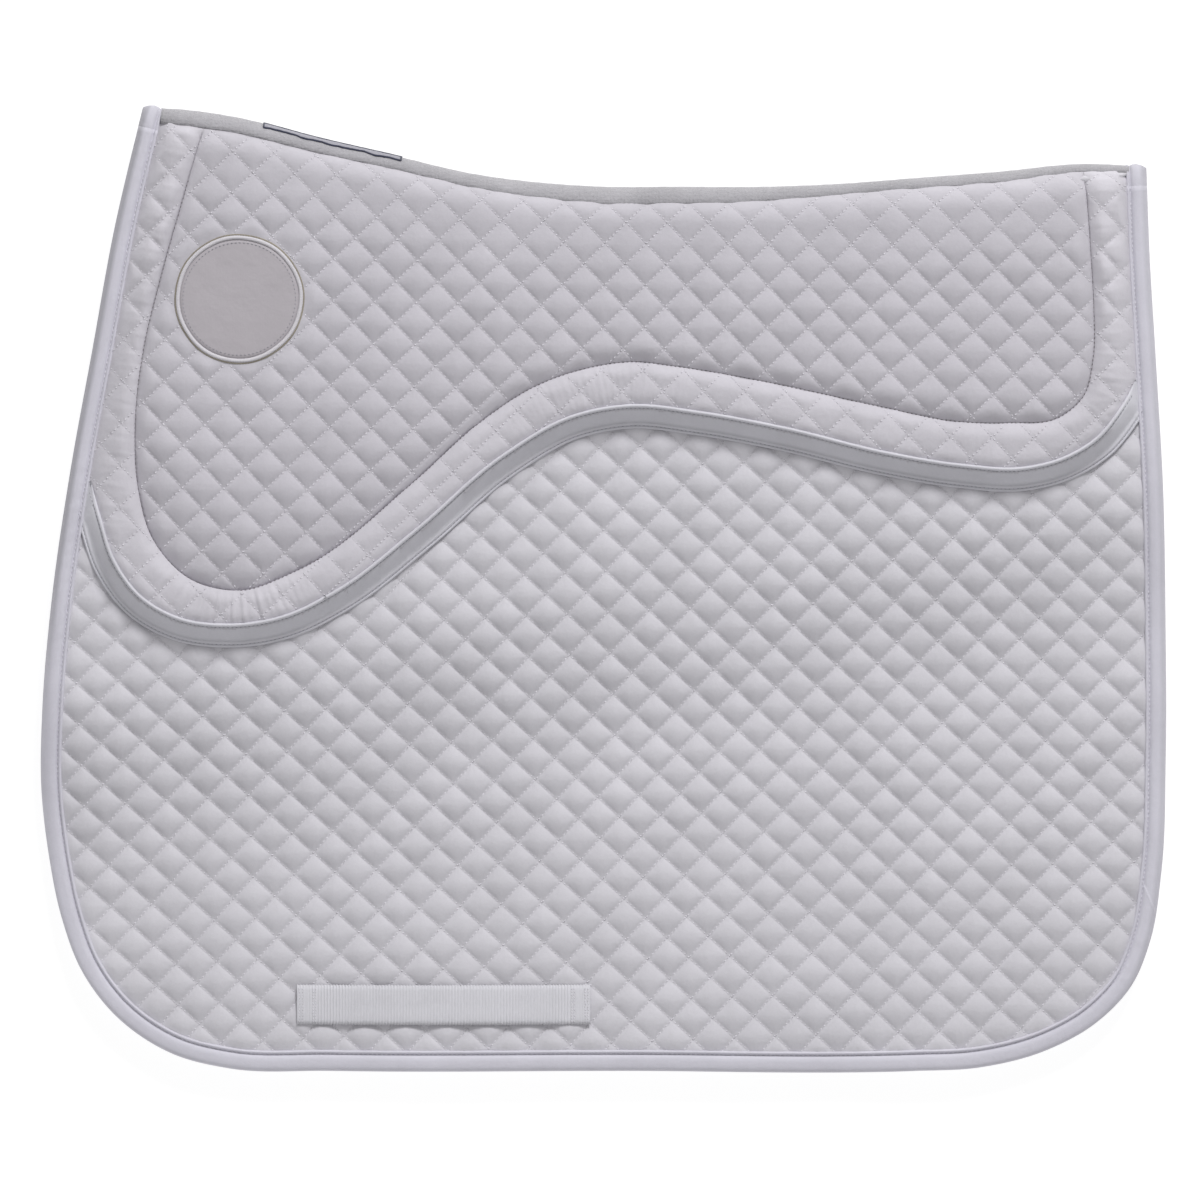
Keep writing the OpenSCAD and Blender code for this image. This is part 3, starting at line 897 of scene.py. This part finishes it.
def fold_band(name, u, start, stop, lift, thick, steps, wave):
    """A band of cloth round the fold, from angle start to angle stop at each station. The
    angles are measured from the outermost line, positive towards the near flap."""
    share = fold_share(u)
    radius = PAD_OUT * share + lift
    center = fold_center(u, share)
    order = np.linspace(0, 1, steps)
    rows = []
    for layer, places in ((thick, order), (0.0, order[::-1])):
        for k in places:
            angle = start + (stop - start) * k
            round_edge = layer * (1 - 0.85 * abs(2 * k - 1) ** 7)
            r = radius + round_edge + wave * wrinkles(u + 20 * k, 13.0, 0.3)
            xy = from_chord(u, center + r * np.cos(angle))
            rows.append(np.column_stack([xy, MID + r * np.sin(angle)]))
    return tube(name, np.stack(rows, axis=1))


def tape_lift(u):
    """Height of the spine tape's inner face over the half-pad, raised towards the front."""
    return -1.2 + 0.9 * smooth((260 - u) / 200) * smooth((u - 5) / 20)


def spine_tape_piece():
    """The brushed tape sewn over the whole length of the fold."""
    u = np.linspace(8.0, CHORD_L - 7.5, 240)
    upper = math.pi / 2 - tape_start(u, fold_share(u))
    return fold_band("spine_tape_cloth", u, np.full(len(u), -0.95), upper, tape_lift(u),
                     SPINE_TAPE_THICK, 20, 0.12)


def label_pieces():
    """The blank woven label on the spine tape and its wavy overlocked outline."""
    low, high = box_mm("spine_label")
    u0, _ = chord_frame(np.array([[low[0], high[1]]]))
    u1, _ = chord_frame(np.array([[high[0], low[1]]]))
    u = np.linspace(u0[0] + 1.0, u1[0] - 1.0, 180)
    top = 0.48 + 0.045 * wrinkles(u, 24.0, 0.8)
    bottom = -0.5 + 0.03 * wrinkles(u, 21.0, 2.2)
    over = tape_lift(u) + SPINE_TAPE_THICK
    label = fold_band("spine_woven_label", u, bottom, top, over, 0.45, 12, 0.1)
    outline = []
    for name, angle in (("near", top), ("crest", 0.12 + 0 * u), ("far", bottom)):
        wavy = angle + 0.014 * wrinkles(u, 9.0, 1.4)
        outline.append(fold_band(f"spine_label_{name}_edge", u, wavy - 0.034, wavy + 0.034,
                                 over + 0.1, 0.75, 5, 0.1))
    for name, k in (("front", 0), ("rear", -1)):
        ends = np.linspace(u[k] - 0.5, u[k] + 0.5, 3)
        outline.append(fold_band(f"spine_label_{name}_edge", ends, bottom[k], top[k],
                                 over[k] + 0.1, 0.75, 12, 0.1))
    return label, outline


def binding_end(name, front):
    """The edge binding where it goes round the fold at the front or the rear peak."""
    total = lengths(EDGE)[-1]
    reach = np.arange(0, NOSE_REACH + 0.1, 0.5)
    line = at_lengths(EDGE, reach if front else total - reach)
    turn = line[np.abs(chord_frame(line)[1] + PAD_OUT * THINNEST).argmin()]
    legs = np.linspace(line[-1], turn, 4)[:-1]
    inward = left_normals(at_lengths(EDGE, [10.0, 12.0] if front else [total - 12, total - 10]))
    along = unit(turn - line[-1])
    angles = np.linspace(math.pi / 2, -math.pi / 2, 25)
    sizes = (0.90, 0.998, 1.0)
    stations = [(leg, 0.0, 1.0, size) for leg, size in zip(legs, sizes)]
    stations += [(turn, math.cos(a), math.sin(a), 1.0) for a in angles]
    stations += [(leg, 0.0, -1.0, size) for leg, size in zip(legs[::-1], sizes[::-1])]
    grid = np.empty((len(stations), len(BINDING_SECTION), 3))
    for i, (place, ahead, up, size) in enumerate(stations):
        for j, (t, d) in enumerate(BINDING_SECTION):
            outward = d + 2.4 + 0.6 * max(0.0, 9.0 - d) * (2.5 < d)
            across = 7 + (t - 7) * size
            grid[i, j, :2] = place + inward[0] * across + along * outward * ahead
            grid[i, j, 2] = MID + d * size * up
    ahead = np.array([station[1] for station in stations])
    # Painted shade on the turned end: darker where it faces out past the fold and where it turns
    # over the edge.
    painted_shade = np.add.outer(0.6 * ahead, TURNED_SHADE * (1.0 if front else REAR_PAINTED_SHADE))
    return tube(name, grid, front, np.clip(painted_shade, 0, 1))


def spine_core(name, inner, outer, start, stop):
    """Layers inside the fold, between two radii at full thickness."""
    u = np.linspace(9.0, CHORD_L - 8.0, 160)
    share = fold_share(u)
    center = fold_center(u, share)
    angles = np.linspace(start, stop, 13)
    rows = []
    for radius, order in ((outer, angles), (inner, angles[::-1])):
        r = np.minimum(radius, PAD_OUT * share - 0.9)
        for a in order:
            xy = from_chord(u, center + r * math.cos(a))
            rows.append(np.column_stack([xy, MID + r * math.sin(a)]))
    return tube(name, np.stack(rows, axis=1))


# ---------------- patch and girth keeper


def patch_circle(radius, angle, z):
    """Points round the middle of the patch."""
    return np.column_stack([PATCH_CENTER[0] + radius * np.cos(angle),
                            PATCH_CENTER[1] + radius * np.sin(angle),
                            np.broadcast_to(z, angle.shape)])


def patch_disc():
    """The blank satin disc, slightly crowned, with a wall down to the half-pad."""
    rings, spokes = 16, 120
    level = MID + PATCH_LEVEL
    angle = np.linspace(0, 2 * math.pi, spokes, endpoint=False)
    verts = [[*PATCH_CENTER, level + 1.1]]
    for i in range(1, rings + 1):
        k = i / rings
        z = level + 1.1 - 0.5 * k ** 4 + 0.10 * np.sin(2 * angle + 1) * k
        verts += patch_circle((PATCH_R + 0.8) * k, angle, z).tolist()
    verts += [[x, y, level - 0.2] for x, y, _ in verts[-spokes:]]
    faces = [[0, 1 + j, 1 + (j + 1) % spokes] for j in range(spokes)]
    for i in range(rings):
        a, b = 1 + i * spokes, 1 + (i + 1) * spokes
        faces += [[a + j, b + j, b + (j + 1) % spokes, a + (j + 1) % spokes]
                  for j in range(spokes)]
    faces.append(list(range(b, b + spokes))[::-1])
    return mesh_object("near_blank_patch", verts, faces)


def ring_cord(name, radius, z, wide, high, turns, relief):
    """A round cord with an oval section and fine satin stitches across it."""
    angle = np.linspace(0, 2 * math.pi, turns * 3, endpoint=False)[:, None]
    section = np.linspace(0, 2 * math.pi, 12, endpoint=False)[None]
    stitch = 1 + relief * np.cos(angle * turns)
    wobble = 0.18 * np.sin(3 * angle + 1) + 0.12 * np.sin(8 * angle)
    r = radius + wobble + wide * np.cos(section) * stitch
    grid = np.stack([PATCH_CENTER[0] + r * np.cos(angle), PATCH_CENTER[1] + r * np.sin(angle),
                     z + high * np.sin(section) * stitch], axis=-1)
    faces = [[a, d, c, b] for a, b, c, d in grid_faces(*r.shape, closed=True)]
    return mesh_object(name, grid.reshape(-1, 3), faces)


def patch_pieces():
    """The patch, its raised white rim, the fine cord round it and the row of stitches."""
    level = MID + PATCH_LEVEL
    disc = patch_disc()
    rim = ring_cord("near_patch_rim_cord", RIM_R - 2.2, level + 0.5, 1.3, 1.1, 240, 0.10)
    cord = ring_cord("near_patch_outline_cord", RIM_R - 0.55, level - 0.1, 0.62, 0.85, 150,
                     0.12)
    path = patch_circle(PATCH_R - 1.6, np.linspace(0, 2 * math.pi, 121), level + 0.85)
    stitches = row_stitches("near_patch_stitches", path, 2.6, 1.7, 0.6, 0.3)
    return disc, rim, cord, stitches


# Length of the keeper's sewn ends, the rise of its arch, and the pitch of its ribs.
KEEPER_TAB = 13.0
KEEPER_RISE = 24.0
RIB_PITCH = 1.95


def keeper_pieces(side, label):
    """Ribbed webbing, sewn down at both ends, with its bar tacks."""
    half, wide = KEEPER_HALF
    lift, base, outer = (1.1, 7.6, 1.25) if side == NEAR else (0.0, 7.45, 0.9)
    x = np.arange(-half, half + 0.01, 0.32)
    ribs = np.cos(2 * math.pi * x / RIB_PITCH)
    loose = np.abs(x) < half - KEEPER_TAB + 1
    rib = np.where(loose, 0.17 * ribs, 0.10 * np.cos(2 * math.pi * x / 1.1))
    arch = lift * smooth((half - KEEPER_TAB - np.abs(x)) / KEEPER_RISE)
    bow = 0.36 * (1 - (x / half) ** 2)
    across = np.linspace(-1, 1, 9)
    rows = [(y, outer + rib - 0.5 * abs(y) ** 10) for y in across]
    rows += [(y, 0.1 + 0.4 * abs(y) ** 10 - 0.3 * rib) for y in across[::-1]]
    grid = np.empty((len(x), len(rows), 3))
    for j, (y, d) in enumerate(rows):
        py = KEEPER_CENTER[1] + y * (wide + 0.28 * ribs * abs(y) ** 6) - bow
        p = np.column_stack([KEEPER_CENTER[0] + x, py])
        grid[:, j] = np.column_stack([p, MID + side * (base + arch + d) - sink(p)])
    webbing = tube(f"{label}_keeper_webbing", grid, side == NEAR)
    return webbing, keeper_tacks(side, label, base + outer + 0.1)


def keeper_tacks(side, label, level):
    """Rows of stitches across both sewn ends of the keeper, slanting to and fro."""
    half, wide = KEEPER_HALF
    y = KEEPER_CENTER[1] + np.linspace(-wide + 1, wide - 1, 40)
    rows = []
    for end in (-1, 1):
        for inset in (1.6, 3.6, KEEPER_TAB - 2.6, KEEPER_TAB - 1.0):
            p = np.column_stack([np.full(40, KEEPER_CENTER[0] + end * (half - inset)), y])
            path = np.column_stack([p, MID + side * level - sink(p)])
            rows.append(row_points(path, 1.9))
    points, along = (np.vstack(parts) for parts in zip(*rows))
    along[:, 0] += 0.45 * np.where(np.arange(len(along)) % 2, 1, -1)
    return threads(f"{label}_keeper_tacks", points, along, 2.0, 0.7, 0.3, side)


# ---------------- materials


def new_material(name):
    material = bpy.data.materials.new(name)
    material.use_nodes = True
    return material, material.node_tree


def add(tree, kind, **values):
    """A node with its properties and the constants of its sockets set."""
    node = tree.nodes.new(kind)
    for key, value in values.items():
        if key.startswith("in_"):
            node.inputs[key[3:].replace("_", " ")].default_value = value
        else:
            setattr(node, key, value)
    return node


def linear(srgb):
    """Linear colour of an sRGB colour given from 0 to 255."""
    out = []
    for c in srgb:
        c = c / 255
        out.append(c / 12.92 if c <= 0.04045 else ((c + 0.055) / 1.055) ** 2.4)
    return out


def shade(color, amount):
    """A linear colour made darker or lighter, with its alpha."""
    return (*[min(1.0, c * amount) for c in color], 1.0)


def math_node(tree, operation, *values):
    """A sum or product and the like of numbers and of the outputs of other nodes."""
    node = add(tree, "ShaderNodeMath", operation=operation)
    for socket, value in zip(node.inputs, values):
        if isinstance(value, (int, float)):
            socket.default_value = value
        else:
            tree.links.new(value, socket)
    return node.outputs[0]


def millimetres(tree, turn):
    """Texture coordinates in millimetres of the shared frame."""
    mapping = add(tree, "ShaderNodeMapping", in_Scale=(1000, 1000, 1000), in_Rotation=(0, 0, turn))
    tree.links.new(add(tree, "ShaderNodeTexCoord").outputs["Object"], mapping.inputs["Vector"])
    return mapping.outputs["Vector"]


def noise(tree, vector, size, detail, rough):
    """Noise with features of about the given size in millimetres."""
    node = add(tree, "ShaderNodeTexNoise", in_Scale=1 / size, in_Detail=detail,
               in_Roughness=rough)
    tree.links.new(vector, node.inputs["Vector"])
    return node.outputs["Fac"]


def weave_height(tree, vector, pitches):
    """Height of a plain weave: threads along both axes that pass over each other."""
    waves = []
    for direction, pitch in zip("XY", pitches):
        wave = add(tree, "ShaderNodeTexWave", wave_type="BANDS", bands_direction=direction,
                   in_Scale=2 * math.pi / (20 * pitch), in_Distortion=0.6, in_Detail=1.0,
                   in_Detail_Scale=1.0)
        tree.links.new(vector, wave.inputs["Vector"])
        waves.append(wave.outputs["Fac"])
    return math_node(tree, "ADD", *waves)


def needle_dips(tree, quilt):
    """Dips of the cloth at every needle hole, along both families of quilting lines."""
    cells = add(tree, "ShaderNodeAttribute", attribute_name="quilt")
    parts = add(tree, "ShaderNodeSeparateXYZ")
    tree.links.new(cells.outputs["Vector"], parts.inputs[0])
    a, b = parts.outputs["X"], parts.outputs["Y"]
    total = 0.0
    for own, run, across, along in ((a, b, *quilt[:2]), (b, a, *quilt[1::-1])):
        gap = math_node(tree, "PINGPONG", own, 0.5)
        near = math_node(tree, "MULTIPLY", gap, across.pitch / 2.0)
        near = math_node(tree, "SUBTRACT", 1.0, near)
        near = math_node(tree, "MAXIMUM", near, 0.0)
        turn = math_node(tree, "MULTIPLY", run, 2 * math.pi * along.pitch / STITCH_PITCH)
        wave = math_node(tree, "MULTIPLY_ADD", math_node(tree, "COSINE", turn), 0.5, 0.5)
        total = math_node(tree, "ADD", total, math_node(tree, "MULTIPLY", near, wave))
    return total


def bump(tree, height, distance_mm, strength=1.0, under=None):
    """Relief by a height, on top of the relief under it."""
    node = add(tree, "ShaderNodeBump", in_Strength=strength, in_Distance=distance_mm / 1000)
    tree.links.new(height, node.inputs["Height"])
    if under is not None:
        tree.links.new(under, node.inputs["Normal"])
    return node.outputs["Normal"]


def uneven_color(tree, color, speck, variation, vector):
    """A colour that varies slowly over the cloth, and finely by the specks."""
    slow = math_node(tree, "MULTIPLY", noise(tree, vector, 38, 4.0, 0.6), 0.7)
    tone = math_node(tree, "ADD", slow, math_node(tree, "MULTIPLY", speck, 0.3))
    ramp = add(tree, "ShaderNodeValToRGB")
    dark, light = ramp.color_ramp.elements
    dark.position, light.position = 0.3, 0.7
    dark.color, light.color = shade(color, 1 - variation), shade(color, 1 + variation)
    tree.links.new(tone, ramp.inputs["Fac"])
    return ramp.outputs["Color"]


def painted_turn_shade(tree, base, dark):
    """A colour with painted shade: it turns dark where the mesh says that the cloth turns over the
    edge.
    """
    share = add(tree, "ShaderNodeAttribute", attribute_name="painted_shade")
    mix = add(tree, "ShaderNodeMix", data_type="RGBA")
    tree.links.new(share.outputs["Fac"], mix.inputs[0])
    tree.links.new(base, mix.inputs[6])
    mix.inputs[7].default_value = dark
    return mix.outputs[2]


def fabric(name, srgb, weave=(0.55, 0.55), weave_depth=0.10, crumple=0.35, crumple_size=7.0,
           rough=0.88, sheen=0.25, variation=0.06, turn=0.0, quilt=None, shadow=0.0):
    """Woven cloth: a weave, a slow crumple, uneven colour and a soft sheen."""
    material, tree = new_material(name)
    shader = tree.nodes["Principled BSDF"]
    color = linear(srgb)
    vector = millimetres(tree, turn)
    speck = noise(tree, vector, 1.3, 2.0, 0.7)
    base = uneven_color(tree, color, speck, variation, vector)
    # Painted shade, by the share that the mesh holds for each point.
    if shadow:
        base = painted_turn_shade(tree, base, shade(color, 1 - shadow))
    tree.links.new(base, shader.inputs["Base Color"])
    rough_tone = math_node(tree, "MULTIPLY_ADD", speck, 0.12, rough - 0.06)
    tree.links.new(rough_tone, shader.inputs["Roughness"])
    shader.inputs["Sheen Weight"].default_value = sheen
    shader.inputs["Sheen Roughness"].default_value = 0.5
    shader.inputs["Specular IOR Level"].default_value = 0.25
    normal = bump(tree, noise(tree, vector, crumple_size, 5.0, 0.55), crumple)
    if quilt:
        normal = bump(tree, needle_dips(tree, quilt), -0.16, 1.0, normal)
    normal = bump(tree, weave_height(tree, vector, weave), weave_depth, 0.8, normal)
    tree.links.new(normal, shader.inputs["Normal"])
    return material


def sewing_thread(name, srgb, rough=0.6):
    """Spun thread, finer than cloth."""
    return fabric(name, srgb, weave=(0.5, 0.5), weave_depth=0.08, crumple=0.1, rough=rough)


COTTON = fabric("quilted_cotton", (205, 203, 209), crumple=0.5, quilt=FLAP_QUILT)
# The half-pad's panel and border are the flap's cotton drawn darker: painted shade on the
# half-pad.
SHADED_PANEL_COTTON = fabric("panel_cotton_painted_shade", (195, 192, 199), crumple=0.5, quilt=PAD_QUILT)
SHADED_BORDER_COTTON = fabric("border_cotton_painted_shade", (202, 199, 206), crumple=0.5, quilt=PAD_QUILT)
LINING = fabric("lining_cotton", (198, 197, 199), crumple=0.4)
BINDING = fabric("binding_tape", (208, 206, 216), weave=(0.7, 0.45), crumple=0.25,
                 crumple_size=4, sheen=0.3, turn=0.2, shadow=0.34)
EDGE_TAPE = fabric("grey_edge_tape", (208, 207, 214), weave=(0.8, 0.5), crumple=0.25,
                   crumple_size=4, turn=0.1)
SPINE_TAPE = fabric("grey_brushed_tape", (161, 159, 164), weave=(0.9, 0.9), weave_depth=0.2,
                    crumple=1.1, crumple_size=2.2, sheen=0.6, variation=0.16)
SATIN = fabric("grey_satin", (175, 170, 175), weave=(0.4, 0.4), weave_depth=0.03, crumple=0.8,
               crumple_size=14, rough=0.5, sheen=0.1, variation=0.03)
RIM_THREAD = fabric("white_satin_stitch", (206, 203, 208), weave=(0.9, 0.9), crumple=0.15,
                    rough=0.65, sheen=0.15)
CORD_THREAD = fabric("olive_cord", (150, 143, 130), weave=(0.5, 0.5), crumple=0.1, rough=0.6,
                     sheen=0.1, variation=0.30)
LABEL = fabric("woven_label", (150, 149, 158), weave=(0.5, 0.35), crumple=0.2, crumple_size=9,
               rough=0.6, sheen=0.1)
NAVY = fabric("navy_overlock", (54, 57, 76), weave=(0.6, 0.6), weave_depth=0.2, crumple=0.2,
              rough=0.7)
WEBBING = fabric("ribbed_webbing", (214, 213, 219), weave=(0.95, 0.6), weave_depth=0.16,
                 crumple=0.15, crumple_size=4, sheen=0.3)
THREAD = sewing_thread("sewing_thread", (222, 220, 226))
SEAM_THREAD = sewing_thread("dark_seam_thread", (112, 106, 110), 0.7)
GREY_THREAD = sewing_thread("grey_sewing_thread", (158, 158, 166))


# ---------------- putting it together


def crease_blend(piece):
    """Bakes the placement of a near flap's piece into its points."""
    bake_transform(piece)


def finish_piece(piece, material, side=None, nodes=(), rigid=None):
    """Gives a piece its material and hides the nodes that it stands for. A near flap's piece
    without a rigid body is baked in place; any other piece goes to its body.
    """
    piece.data.materials.append(material)
    if side == NEAR and rigid is None:
        crease_blend(piece)
    else:
        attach(piece, rigid or "far_flap")
    if nodes:
        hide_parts(*nodes)


def build_side(side, label):
    """All the pieces of one flap."""
    cover = cover_piece(side, label)
    finish_piece(cover, COTTON, side, [f"{label}_cover", f"{label}_foam"])
    lining = lining_piece(side, label)
    finish_piece(lining, LINING, side, [f"{label}_lining"])
    panel, border = half_pad_pieces(side, label)
    finish_piece(panel, SHADED_PANEL_COTTON, side,
                 [f"{label}_half_pad_panel", f"{label}_half_pad_foam"])
    finish_piece(border, SHADED_BORDER_COTTON, side, [f"{label}_half_pad_border"])
    binding = binding_piece(side, label)
    finish_piece(binding, BINDING, side, [f"{label}_binding"])
    tape = edge_tape_piece(side, label)
    finish_piece(tape, EDGE_TAPE, side, [f"{label}_half_pad_tape"])
    webbing, tacks = keeper_pieces(side, label)
    body = "near_flap" if side == NEAR else "far_flap"
    finish_piece(webbing, WEBBING, side, [f"{label}_girth_keeper"], body)
    finish_piece(tacks, THREAD, side, [f"{label}_keeper_stitching"], body)
    for row in edge_tape_rows(side, label):
        finish_piece(row, GREY_THREAD, side)
    finish_piece(binding_row(side, label, 11.35, 7.3), THREAD, side)


def on_flap(p):
    """Points of the visible part of the flap, between the edge tape and the binding."""
    edge, _ = nearest(p, EDGE_LONG)
    ring = above(shifted(PAD_EDGE, -2.5))
    return inside(p, EDGE_INNER) & (edge > BINDING_W + 2.2) & ~inside(p, ring)


def on_half_pad(p):
    """Points of the visible part of the half-pad, off its seam and its patch."""
    edge, _ = nearest(p, EDGE_LONG)
    seam, _ = seam_distance(p)
    ring = above(shifted(PAD_EDGE, EDGE_TAPE_W + 1.6))
    share = thickness_share(edge)
    u, v = chord_frame(p)
    far_from_patch = np.linalg.norm(p - PATCH_CENTER, axis=1) > RIM_R + 1
    return (inside(p, ring) & inside(p, EDGE_INNER) & (edge > BINDING_W + 2.2)
            & (np.abs(seam) > 1.2) & far_from_patch
            & (past_fold(u, v, share) < tape_start(u, share) - 0.05))


def flap_height(p):
    """Points of the near flap's outer face over points of the plane."""
    return wrapped(p, flap_outer(p), NEAR, share_at(p))


def half_pad_height(p):
    """The same for the half-pad."""
    d, share = half_pad_outer(p, NEAR)
    return wrapped(p, d, NEAR, share)


def seam_row():
    """The row of stitches in the crease between the panel and its border."""
    path = at_lengths(SEAM, np.arange(4, lengths(SEAM)[-1] - 4, 2.6))
    edge, _ = nearest(path, EDGE_LONG)
    path = path[(edge > BINDING_W + 3) & (path[:, 1] < 262)]
    points = half_pad_height(path)
    points[:, 2] += 0.4
    return row_stitches("near_panel_seam_stitches", points, 2.8, 1.7, 0.6, 0.3)


def build():
    """Both flaps, and what there is only one of."""
    build_side(NEAR, "near")
    build_side(FAR, "far")
    finish_piece(quilt_threads("near_flap_quilting", FLAP_QUILT, on_flap, flap_height),
                 THREAD, NEAR)
    finish_piece(quilt_threads("near_half_pad_quilting", PAD_QUILT, on_half_pad,
                               half_pad_height), THREAD, NEAR)
    finish_piece(seam_row(), SEAM_THREAD, NEAR)
    disc, rim, cord, stitches = patch_pieces()
    finish_piece(disc, SATIN, NEAR, ["near_patch"])
    finish_piece(rim, RIM_THREAD, NEAR, ["near_patch_rim"])
    finish_piece(cord, CORD_THREAD, NEAR)
    finish_piece(stitches, GREY_THREAD, NEAR)
    finish_piece(spine_tape_piece(), SPINE_TAPE, nodes=["spine_tape"])
    label, outline = label_pieces()
    finish_piece(label, LABEL, nodes=["spine_label"])
    for piece in outline:
        finish_piece(piece, NAVY)
    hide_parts("spine_label_stitching")
    core = spine_core("spine_flap_core", 0.4, 7.4, -math.pi / 2, math.pi / 2)
    finish_piece(core, LINING, nodes=["spine_cover", "spine_foam", "spine_lining"])
    fill = spine_core("spine_half_pad_core", 7.4, 20.5, -1.0, 0.9)
    finish_piece(fill, COTTON,
                 nodes=["spine_half_pad_cover", "spine_half_pad_foam"])
    front = binding_end("spine_front_binding_fold", True)
    finish_piece(front, BINDING, nodes=["spine_front_binding"])
    rear = binding_end("spine_rear_binding_fold", False)
    finish_piece(rear, BINDING, nodes=["spine_rear_binding"])


# ---------------- floor, light and camera


def floor():
    """A pale floor that shines a little, so that it stays plain."""
    mesh = bpy.data.meshes.new("floor")
    mesh.from_pydata([(-9, -9, 0), (9, -9, 0), (9, 9, 0), (-9, 9, 0)], [], [(0, 1, 2, 3)])
    material, tree = new_material("pale_floor")
    sockets = tree.nodes["Principled BSDF"].inputs
    sockets["Base Color"].default_value = (0.25, 0.25, 0.25, 1)
    sockets["Emission Color"].default_value = (1, 1, 1, 1)
    sockets["Emission Strength"].default_value = 0.85
    sockets["Roughness"].default_value = 0.9
    sockets["Specular IOR Level"].default_value = 0.1
    mesh.materials.append(material)
    new_object("floor", mesh)


def area_light(name, place, size, power):
    """A round lamp that shines at the middle of the pad."""
    light = bpy.data.lights.new(name, "AREA")
    light.shape = "DISK"
    light.size = size
    light.energy = power
    obj = new_object(name, light)
    obj.visible_camera = False
    obj.location = place
    obj.rotation_euler = (-Vector(place)).to_track_quat("-Z", "Y").to_euler()


def lights():
    area_light("key_light", (1.24, 4.70, 3.50), 1.8, 276)
    area_light("fill_light", (-0.10, -0.80, 0.85), 0.6, 1.0)
    world = bpy.data.worlds.new("white_room")
    bpy.context.scene.world = world
    world.use_nodes = True
    background = world.node_tree.nodes["Background"]
    background.inputs["Color"].default_value = (1, 1, 1, 1)
    background.inputs["Strength"].default_value = 0.47


def camera():
    """A long lens that looks straight down."""
    data = bpy.data.cameras.new("camera")
    data.lens = 300
    data.sensor_width = 36
    data.clip_end = 30
    obj = new_object("camera", data)
    obj.location = (-0.0019, -0.008, 6.422)
    bpy.context.scene.camera = obj
    bpy.context.scene.view_settings.view_transform = "Standard"


camera()
floor()
lights()
build()
